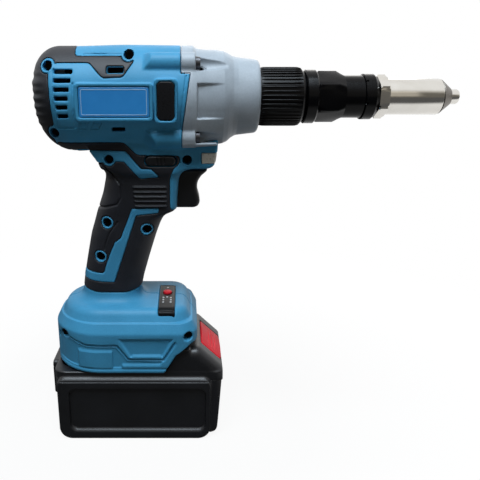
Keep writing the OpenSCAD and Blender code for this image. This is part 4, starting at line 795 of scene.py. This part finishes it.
# The battery's screws stand at these X, and as far to each side; their heads lie in the base.
pack_rear, pack_front, pack_side, pack_seat = -56.1, 51.1, 29.0, 3.1
battery_seats = [(a, b, pack_seat, 47.0) for a in (pack_rear, pack_front) for b in (-pack_side, pack_side)]
screw_sets = (
    ("housing_screw_set", "housing_screws", "tool", black_steel, 2.8, 2.0, (math.pi / 2, 0, 0), housing_seats),
    ("gear_screw_set", "gearbox_screws", "tool", zinc, 4.1, 2.8, (0, math.pi / 2, 0), gear_seats),
    ("battery_screw_set", "battery_screws", "battery", black_steel, 2.5, 1.6, (math.pi, 0, 0), battery_seats))
for name, kept, body, finish, wide, tall, turning, seats in screw_sets:
    spots = bpy.data.meshes.new(name + "_seats")
    spots.from_pydata([(a / 1000, b / 1000, c / 1000) for a, b, c, reach in seats], [], [])
    lengths = spots.attributes.new("length", "FLOAT", "POINT")
    lengths.data.foreach_set("value", [reach / 1000 for a, b, c, reach in seats])
    screws = made_by_tree(name, spots, tree,
                          {"Head radius": wide / 1000, "Head top": wide * 0.9 / 1000,
                           "Head height": tall / 1000, "Socket radius": wide * 0.5 / 1000,
                           "Shank radius": 0.0015, "Turn": turning, "Material": finish})
    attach(screws, body)
    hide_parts(kept)

# Trigger, selector and lamp lens. The trigger is a black nylon moulding with a hollowed face
# that runs on its stem; the selector bar goes across the neck; the lens closes the chin.
# Black nylon, moulded: deep black with a low, even gloss.
black = plastic("black_nylon", "0e0f11", "16171a", 0.4, 0.9, 0.05, **{"Specular IOR Level": 0.4})
trigger_line = softened([(24.6, 193.0), (47.6, 193.0), (47.4, 191.4), (43.4, 188.0), (41.3, 184.6),
                         (40.7, 181.5), (41.0, 177.6), (42.3, 173.4), (42.8, 170.2), (41.6, 167.2),
                         (38.8, 165.9), (24.6, 165.9)], 1.2)


def trigger_form(x, y, z):
    """The trigger's hollowed face with fine lines, its flange and its stem."""
    stem_z = 177.6
    d = eased(outline(x, z, trigger_line), np.abs(y) - 8.5, 3.0)
    flange = np.maximum(slab(y, z, -8.7, 8.7, 166.4, 193.0, 2.0), np.abs(x - 25.9) - 1.2)
    stem = np.maximum(np.hypot(y, z - stem_z) - 3.0, np.maximum(14.0 - x, x - 26))
    lines = np.abs((z - stem_z + 1.6) % 3.2 - 1.6) - 0.35
    lines = np.maximum(np.maximum(lines, np.abs(z - 178.8) - 8), np.abs(y) - 5.5)
    d = eased(d, -np.maximum(lines, -(d + 0.35)), 0.3)
    return np.minimum(np.minimum(d, flange), stem)


lever = moulded("trigger_lever", trigger_form, (13.5, -9.2, 165.6), (47.5, 9.2, 193.8), 0.32, 120000)
placed(lever, black, "trigger", "trigger")


def selector_form(x, y, z):
    """A round-ended bar across the neck, with fine grooves in both ends."""
    d = eased(slab(x, z, 6.5, 26.3, 197.05, 203.35, 3.1), np.abs(y) - 20.5, 1.4)
    ribs = np.maximum(np.abs((x - 16.4 + 1.2) % 2.4 - 1.2) - 0.3, np.abs(x - 16.4) - 4)
    return eased(d, -np.maximum(np.maximum(ribs, np.abs(z - 200.2) - 2.2), 20.0 - np.abs(y)), 0.3)


bar = moulded("selector_bar", selector_form, (6, -21, 196.5), (27, 21, 204), 0.3, 120000)
placed(bar, black, "selector", "direction_selector")


def lens_form(x, y, z):
    """The lens fills the opening and follows the chin."""
    return eased(neck_form(x, y, z) + 0.15, np.maximum(43.5 - x, np.abs(z - 201.5) - 3.4), 0.6)


# Frosted polycarbonate: pale grey, soft inside, with a smooth outer face.
frosted = plastic("frosted_polycarbonate", "e2ddcf", "f0ece1", 0.28, 1.5, 0.02, **{"Transmission Weight": 0.15})
lamp = moulded("lamp_lens", lens_form, (43, -18, 197.5), (56, 18, 205.7), 0.35, 80000)
placed(lamp, frosted, "tool", "work_light_lens")

# Control panel, a black film over a switch plate, let into the foot's top and bent over its edge.
# A red button stands in it, and small windows show the charge.
# Red ABS, moulded: clean and satin.
red = plastic("red_abs", "d4202c", "e22a38", 0.42, 1.2, 0.03, **{"Specular IOR Level": 0.12})
# Polyester film, black behind: even and dark, with hardly any gloss.
film_black = plastic("black_panel_film", "0c0d0e", "141517", 0.34, 3.0, 0.01, **{"Specular IOR Level": 0.1})
# Clear windows in the film over grey light guides: small pale spots.
window_grey = plastic("window_grey", "8d8f92", "a7a9ac", 0.3, 1.5, 0.01)
knob_x, knob_y, knob_r = 19.5, 0.5, 3.2


def panel_form(x, y, z):
    """The plate follows the foot's skin, with a fine groove around it and a hole for the button."""
    skin = foot_form(x, y, z)
    d = eased(slab(x, y, 13.75, 25.25, -30.2, 15.3, 0.8), np.abs(skin + 0.25) - 0.65, 0.4)
    d = eased(d, -np.maximum(np.abs(slab(x, y, 14.7, 24.3, -29.0, 14.1, 0.6)) - 0.22, 0.22 - skin), 0.15)
    d = eased(d, -(np.hypot(x - knob_x, y - knob_y) - 3.45), 0.4)
    return np.maximum(d, np.abs(z - 97) - 7)


def windows_form(x, y, z):
    """Small oblong spots on the plate."""
    skin = foot_form(x, y, z)
    marks = np.float32(1e9)
    for a, b in ((16.8, -9), (16.8, -13), (16.8, -17), (22.2, -9), (22.2, -13), (22.2, -17),
                 (19.5, -8), (19.5, 10)):
        marks = np.minimum(marks, slab(x, y, a - 0.7, a + 0.7, b - 1.1, b + 1.1, 0.3))
    return np.maximum(eased(marks, np.abs(skin - 0.42) - 0.12, 0.1), np.abs(z - 97) - 7)


def knob_form(x, y, z):
    """A short round button with a domed top."""
    dome = np.abs(z - 97.8) - 3.0 + 0.02 * ((x - knob_x) ** 2 + (y - knob_y) ** 2)
    return eased(np.hypot(x - knob_x, y - knob_y) - knob_r, dome, 0.9)


panel = moulded("panel_plate", panel_form, (13.2, -31.1, 93), (25.8, 17.6, 101.2), 0.25, 120000)
marks = moulded("panel_windows", windows_form, (15.5, -19, 96), (23.5, 13, 101.2), 0.16, 60000)
for part, finish in ((panel, film_black), (marks, window_grey)):
    placed(part, finish, "tool", None)
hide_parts("control_panel")
knob = moulded("panel_knob", knob_form, (16, -3.1, 94.2), (23, 4.1, 101.2), 0.2, 40000)
placed(knob, red, "panel_button", "panel_button")

# Battery, two black polycarbonate mouldings screwed together around ten round cells.
# Each side is a raised cheek with a sunken bare panel; a red latch lies in the sloped front.
# Black polycarbonate blend, moulded: a dark neutral skin whose upward edges shine softly.
pack_black = plastic("black_polycarbonate", "101012", "1a1a1d", 0.36, 1.0, 0.04, **{"Specular IOR Level": 0.4})


def pack_form(x, y, z):
    """The outside of the battery below its deck: a core, two cheeks and a small block behind."""
    depth = np.abs(y)
    cheek = eased(slab(x, z, -58.5, 50.8, 0.0, 51.5, 9.0), depth - 37.5, 1.6)
    cheek = eased(cheek, (4.0 * (depth - 37.5) + 5.0 * (z - 47.2)) / 6.4, 2.0)
    front = np.interp(z, (0, 44, 46.5, 60), (55.6, 58.6, 58.8, 59.2)).astype(np.float32)
    behind = np.interp(z, (0, 44), (58.6, 61.4)).astype(np.float32)
    core = eased(plan(x, y, -61.4, 60.0, 34.0, 9.0, 6.0), np.maximum(x - front, -behind - x), 1.2)
    core = eased(eased(core, -z, 9.0), z - 53.0, 1.2)
    rear = eased(slab(y, z, -16, 16, 24, 51.5, 3.0), np.maximum(-65.4 - x, x + 50), 1.2)
    return fillet(fillet(core, cheek, 1.2), rear, 1.0)


def from_screws(x, y):
    """The distance from the nearest of the battery's four screws."""
    return np.hypot(np.minimum(np.abs(x - pack_rear), np.abs(x - pack_front)), np.abs(y) - pack_side)


def slope_out(x, z):
    """How far a point lies in front of the sloped front of the battery."""
    return (16.0 * (x - 42.5) + 17.0 * (z - 70.0)) / 23.35


def slope_down(x, z):
    """How far a point lies down that slope, from the middle of the latch."""
    return (17.0 * (x - 51.7) - 16.0 * (z - 61.3)) / 23.35


def lower_pack_form(x, y, z):
    """The tub: a sunken panel in each cheek, a hollow with four posts, and the screw holes."""
    panel_depth = 35.2
    d = pack_form(x, y, z)
    depth = np.abs(y)
    ledge = 8.2 - np.clip((depth - panel_depth) / 2.3, 0, 1.4) * 2.0
    d = eased(d, -np.maximum(slab(x, z, -50, 47, ledge, 41, 5.0), panel_depth - depth), 1.2)
    hollow = np.maximum(plan(x, y, -57.0, 54.0, 32.4, 7.0, 4.0), 3.2 - z)
    seats = from_screws(x, y)
    d = np.maximum(d, -np.maximum(hollow, -(seats - 3.6)))
    d = np.maximum(d, -np.maximum(seats - 2.8, z - pack_seat))
    d = np.maximum(d, -(seats - 1.7))
    return eased(d, z - 46.48, 0.15)


def upper_pack_form(x, y, z):
    """The lid: the block with its rails, the hump with the latch's seat, and the room inside."""
    depth = np.abs(y)
    d = pack_form(x, y, z)
    block = np.maximum(plan(x, y, -57.5, 60.0, 33.2, 29.0, 1.0), np.maximum(x - 36, 45 - z))
    block = np.maximum(block, np.where(z < 60.9, depth - 29.2, depth - 40))
    slope = slope_out(x, z)
    hump = outline(x, z, [(19.2, 45), (19.2, 54.2), (27.4, 67.8), (32, 72), (80, 72), (80, 45)])
    cover = eased(eased(slope, z - 70.0, 1.5), depth - 33.8, 8.0)
    hump = eased(eased(hump, cover, 0.8), x - 59.3, 1.2)
    d = fillet(fillet(d, hump, 1.2), eased(block, z - 70.0, 1.0), 0.8)
    d = eased(d, -np.maximum(np.maximum(x + 43, depth - 17), 60 - z), 0.6)
    seat = np.maximum(np.maximum(depth - 18.8, np.abs(slope_down(x, z)) - 10.4), -slope - 13)
    d = eased(d, -seat, 0.5)
    d = np.maximum(d, -np.maximum(plan(x, y, -57.0, 53.0, 25.8, 8.0, 4.0), np.maximum(z - 66.5, slope + 12)))
    d = np.maximum(d, -np.maximum(from_screws(x, y) - 1.7, z - 51))
    return eased(d, 46.52 - z, 0.15)


lower = moulded("battery_tub", lower_pack_form, (-66, -38, -0.5), (60, 38, 47), 0.7, 190000)
upper = moulded("battery_lid", upper_pack_form, (-66, -38, 46), (60.5, 38, 70.5), 0.58, 190000)
for part, kept in ((lower, "battery_case_lower"), (upper, "battery_case_upper")):
    placed(part, pack_black, "battery", kept)


def latch_form(x, y, z):
    """The latch button: a slightly domed face on the slope, with cross grooves for the thumb."""
    out, down = slope_out(x, z), slope_down(x, z)
    d = eased(slab(y, down, -18.4, 18.4, -10.0, 10.0, 2.0), out - 1.0 + 0.003 * (y * y), 0.9)
    d = eased(eased(d, -out - 7.0, 0.3), x - 59.5, 0.6)
    grooves = np.abs((down + 1.5) % 3.0 - 1.5) - 0.45
    grooves = np.maximum(grooves, np.maximum(np.abs(y) - 13, np.abs(down) - 5.5))
    return eased(d, -np.maximum(grooves, 0.35 - out), 0.4)


latch = moulded("battery_latch", latch_form, (38, -19, 45), (61, 19, 74), 0.42, 120000)
placed(latch, red, "release_button", "release_button")

# Electrics inside the housing: two boards, the trigger switch with its spring, the terminal block
# with two blades, and the harness. They keep their solids and get the finish of the real parts.


def finish_nodes(material, *names):
    """Gives plain solids of the frame a material."""
    for name in names:
        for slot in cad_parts[name].material_slots:
            slot.material = material


# Solder mask over glass fibre: a deep green with a cloudy gloss, the weave drawn at 1.2 mm.
board = plastic("green_solder_mask", "0f3d24", "1a5a35", 0.28, 1.2, 0.03, 9.0)
# Glass-filled polyester: dull black, with pale fibre specks.
switch_black = plastic("glass_filled_polyester", "141416", "232326", 0.52, 0.7, 0.05, 8.0)
# Spring wire: cold drawn, blue-grey, with a fine drawing line.
spring_wire = metal("drawn_spring_wire", "6c7076", "8d9197", 0.28, 0.5, 0.01, **{"Metallic": 1.0})
# Brass sheet: stamped, warm yellow, a little tarnished.
brass = metal("stamped_brass", "a5813b", "c39b4e", 0.3, 1.0, 0.01, **{"Metallic": 1.0})
# Soft PVC insulation: smooth red with a waxy gloss.
insulation = plastic("red_pvc_insulation", "8e1616", "a81f1e", 0.4, 1.6, 0.02)
finish_nodes(board, "circuit_boards", "battery_board")
finish_nodes(switch_black, "trigger_switch", "terminal_block")
finish_nodes(spring_wire, "trigger_spring", "latch_spring", "jaw_spring")
finish_nodes(brass, "terminal_blades")
finish_nodes(insulation, "wire_harness")

# Motor: a laminated stator with copper coils, a rotor on its shaft, a fan and two bearings in a
# cast bracket. The cores are stacks of thin sheet, pressed together.
# Electrical sheet, stamped and stacked: grey, with the edges of the 0.5 mm sheets as fine lines.
sheet_stack = metal("stacked_electrical_sheet", "4b4d50", "6d6f72", 0.42, 0.5, 0.05, **{"Metallic": 0.9})
# Enamelled copper wire: orange-brown and glossy, the strands drawn at 0.8 mm.
enamelled = metal("enamelled_copper", "8e4a22", "b5652f", 0.3, 0.8, 0.08,
                  **{"Metallic": 0.85, "Coat Weight": 0.3})
# Ground steel: bright, with a fine grinding line around the axis.
ground = metal("ground_steel", "8f9195", "adafb3", 0.2, 0.6, 0.01, **{"Metallic": 1.0})
# Die-cast alloy, bare: pale grey and a little rough.
cast_alloy = plastic("die_cast_alloy", "4c4e51", "606367", 0.42, 1.0, 0.05, 12.0, **{"Metallic": 0.9})
finish_nodes(sheet_stack, "stator_core", "rotor_core")
finish_nodes(enamelled, "stator_windings")
finish_nodes(ground, "rotor_shaft", "motor_bearings", "nut_bearing", "thrust_bearing")
finish_nodes(switch_black, "cooling_fan")
finish_nodes(cast_alloy, "motor_bracket")

# Gear stage and pulling train: planet gears in a ring, the ball nut and screw, and the case with
# three jaws. They are hardened steel, cut and ground.
# Hardened steel, oiled: dark grey with a clear highlight.
hardened = metal("hardened_gear_steel", "4d4f53", "66686c", 0.27, 0.8, 0.02, **{"Metallic": 1.0})
finish_nodes(hardened, "ring_gear", "planet_gear_1", "planet_gear_2", "planet_gear_3", "planet_carrier",
             "jaw_case", "jaw_1", "jaw_2", "jaw_3", "jaw_pusher")
finish_nodes(ground, "ball_nut", "ball_screw")

# Inside the battery: ten round cells in shrunk sleeves, held by two plastic combs and joined by
# nickel strip. The sleeves are thin coloured film.
# Shrink film: teal, smooth and glossy, with a slow change of tone.
sleeve_film = plastic("shrink_film", "1c6a63", "257d74", 0.25, 3.0, 0.01, 14.0)
# Nickel strip, rolled: pale and warm, with a soft gloss.
nickel = metal("nickel_strip", "a9a79f", "c1bfb7", 0.24, 1.2, 0.01, **{"Metallic": 1.0})
finish_nodes(sleeve_film, "battery_cells")
finish_nodes(switch_black, "cell_holders")
finish_nodes(nickel, "battery_contacts")

# Stage: a white floor, a wide soft lamp overhead, and weak ones from the camera's side and from behind.
# The room is white behind the tool and dimmer where the camera stands, for reflections too.
floor = bpy.data.objects.new("floor", bpy.data.meshes.new("floor"))
floor.data.from_pydata([(-6, -6, 0), (6, -6, 0), (6, 6, 0), (-6, 6, 0)], [], [(0, 1, 2, 3)])
scene.collection.objects.link(floor)
pale = bpy.data.materials.new("floor_paint")
pale.use_nodes = True
tree = pale.node_tree
tree.nodes.clear()
ray = node(tree, "ShaderNodeLightPath")
here = node(tree, "ShaderNodeNewGeometry").outputs["Position"]
spot = node(tree, "ShaderNodeSeparateXYZ", {0: here})
near = node(tree, "ShaderNodeMapRange",
            {"From Min": -0.34, "From Max": -0.2, "To Min": 0.11, "To Max": 1.0,
             "Value": spot.outputs["Y"]})
ahead = node(tree, "ShaderNodeMapRange",
             {"From Min": 0.11, "From Max": 0.16, "To Min": 0.1, "To Max": 1.0,
              "Value": spot.outputs["X"]})
near = maths(tree, "MULTIPLY", near, ahead)
mirror = maths(tree, "MAXIMUM", ray.outputs["Is Glossy Ray"], ray.outputs["Is Transmission Ray"])
seen = maths(tree, "MAXIMUM", ray.outputs["Is Camera Ray"], mirror)
away = node(tree, "ShaderNodeVectorMath", {"operation": "LENGTH", 0: here})
away = node(tree, "ShaderNodeMapRange",
            {"From Min": 0.12, "From Max": 0.45, "Value": away.outputs["Value"]})
share = node(tree, "ShaderNodeMapRange", {"To Min": 0.72, "To Max": 1.0, "Value": away})
share = maths(tree, "MULTIPLY", seen, share)
bright = node(tree, "ShaderNodeMapRange", {"To Min": 1.28, "To Max": 1.0, "Value": away})
level = node(tree, "ShaderNodeMapRange", {"Value": mirror, "To Min": bright, "To Max": near})
paint = node(tree, "ShaderNodeBsdfDiffuse", {"Color": colour("767472")})
glow = node(tree, "ShaderNodeEmission", {"Color": (1, 1, 1, 1), "Strength": level})
both = node(tree, "ShaderNodeMixShader", {0: share, 1: paint, 2: glow})
node(tree, "ShaderNodeOutputMaterial", {"Surface": both})
floor.data.materials.append(pale)

lamps = (("lamp_over", (-0.05, -0.42, 1.4), (0.0, 0.0, 0.2), 0.8, 26.5, (0.78, 0.9, 1.0)),
         ("lamp_front", (0.5, -1.6, 0.8), (0.0, 0.0, 0.15), 0.9, 0.9, (1.0, 0.93, 0.8)),
         ("lamp_back", (0.4, 1.5, 0.8), (0.0, 0.0, 0.15), 0.9, 3.0, (1.0, 0.97, 0.92)))
for name, place, aim, size, watts, tint in lamps:
    light = bpy.data.lights.new(name, "AREA")
    light.size, light.energy, light.color = size, watts, tint
    lamp_object = bpy.data.objects.new(name, light)
    lamp_object.location = place
    way = np.array(aim) - np.array(place)
    tilt = math.acos(-way[2] / np.linalg.norm(way))
    lamp_object.rotation_euler = (tilt, 0, math.atan2(way[1], way[0]) - math.pi / 2)
    scene.collection.objects.link(lamp_object)

world = bpy.data.worlds.new("room")
world.use_nodes = True
scene.world = world
tree = world.node_tree
tree.nodes.clear()
way = node(tree, "ShaderNodeTexCoord")
split = node(tree, "ShaderNodeSeparateXYZ", {0: way.outputs["Generated"]})
high = maths(tree, "MULTIPLY_ADD", split.outputs["Y"], 0.6, split.outputs["Z"])
back = node(tree, "ShaderNodeMapRange",
            {"From Min": -0.1, "From Max": 0.3, "To Min": 0.17, "To Max": 1.0, "Value": high})
ray = node(tree, "ShaderNodeLightPath")
mirror = maths(tree, "MAXIMUM", ray.outputs["Is Glossy Ray"], ray.outputs["Is Transmission Ray"])
level = node(tree, "ShaderNodeMapRange", {"To Min": 0.065, "Value": mirror, "To Max": back})
level = maths(tree, "MAXIMUM", level, ray.outputs["Is Camera Ray"])
warm = node(tree, "ShaderNodeMix", {"data_type": "RGBA", 6: (1, 0.92, 0.78, 1), 7: (1, 1, 1, 1), 0: level})
sky = node(tree, "ShaderNodeBackground", {"Color": warm.outputs[2], "Strength": level})
node(tree, "ShaderNodeOutputWorld", {"Surface": sky})
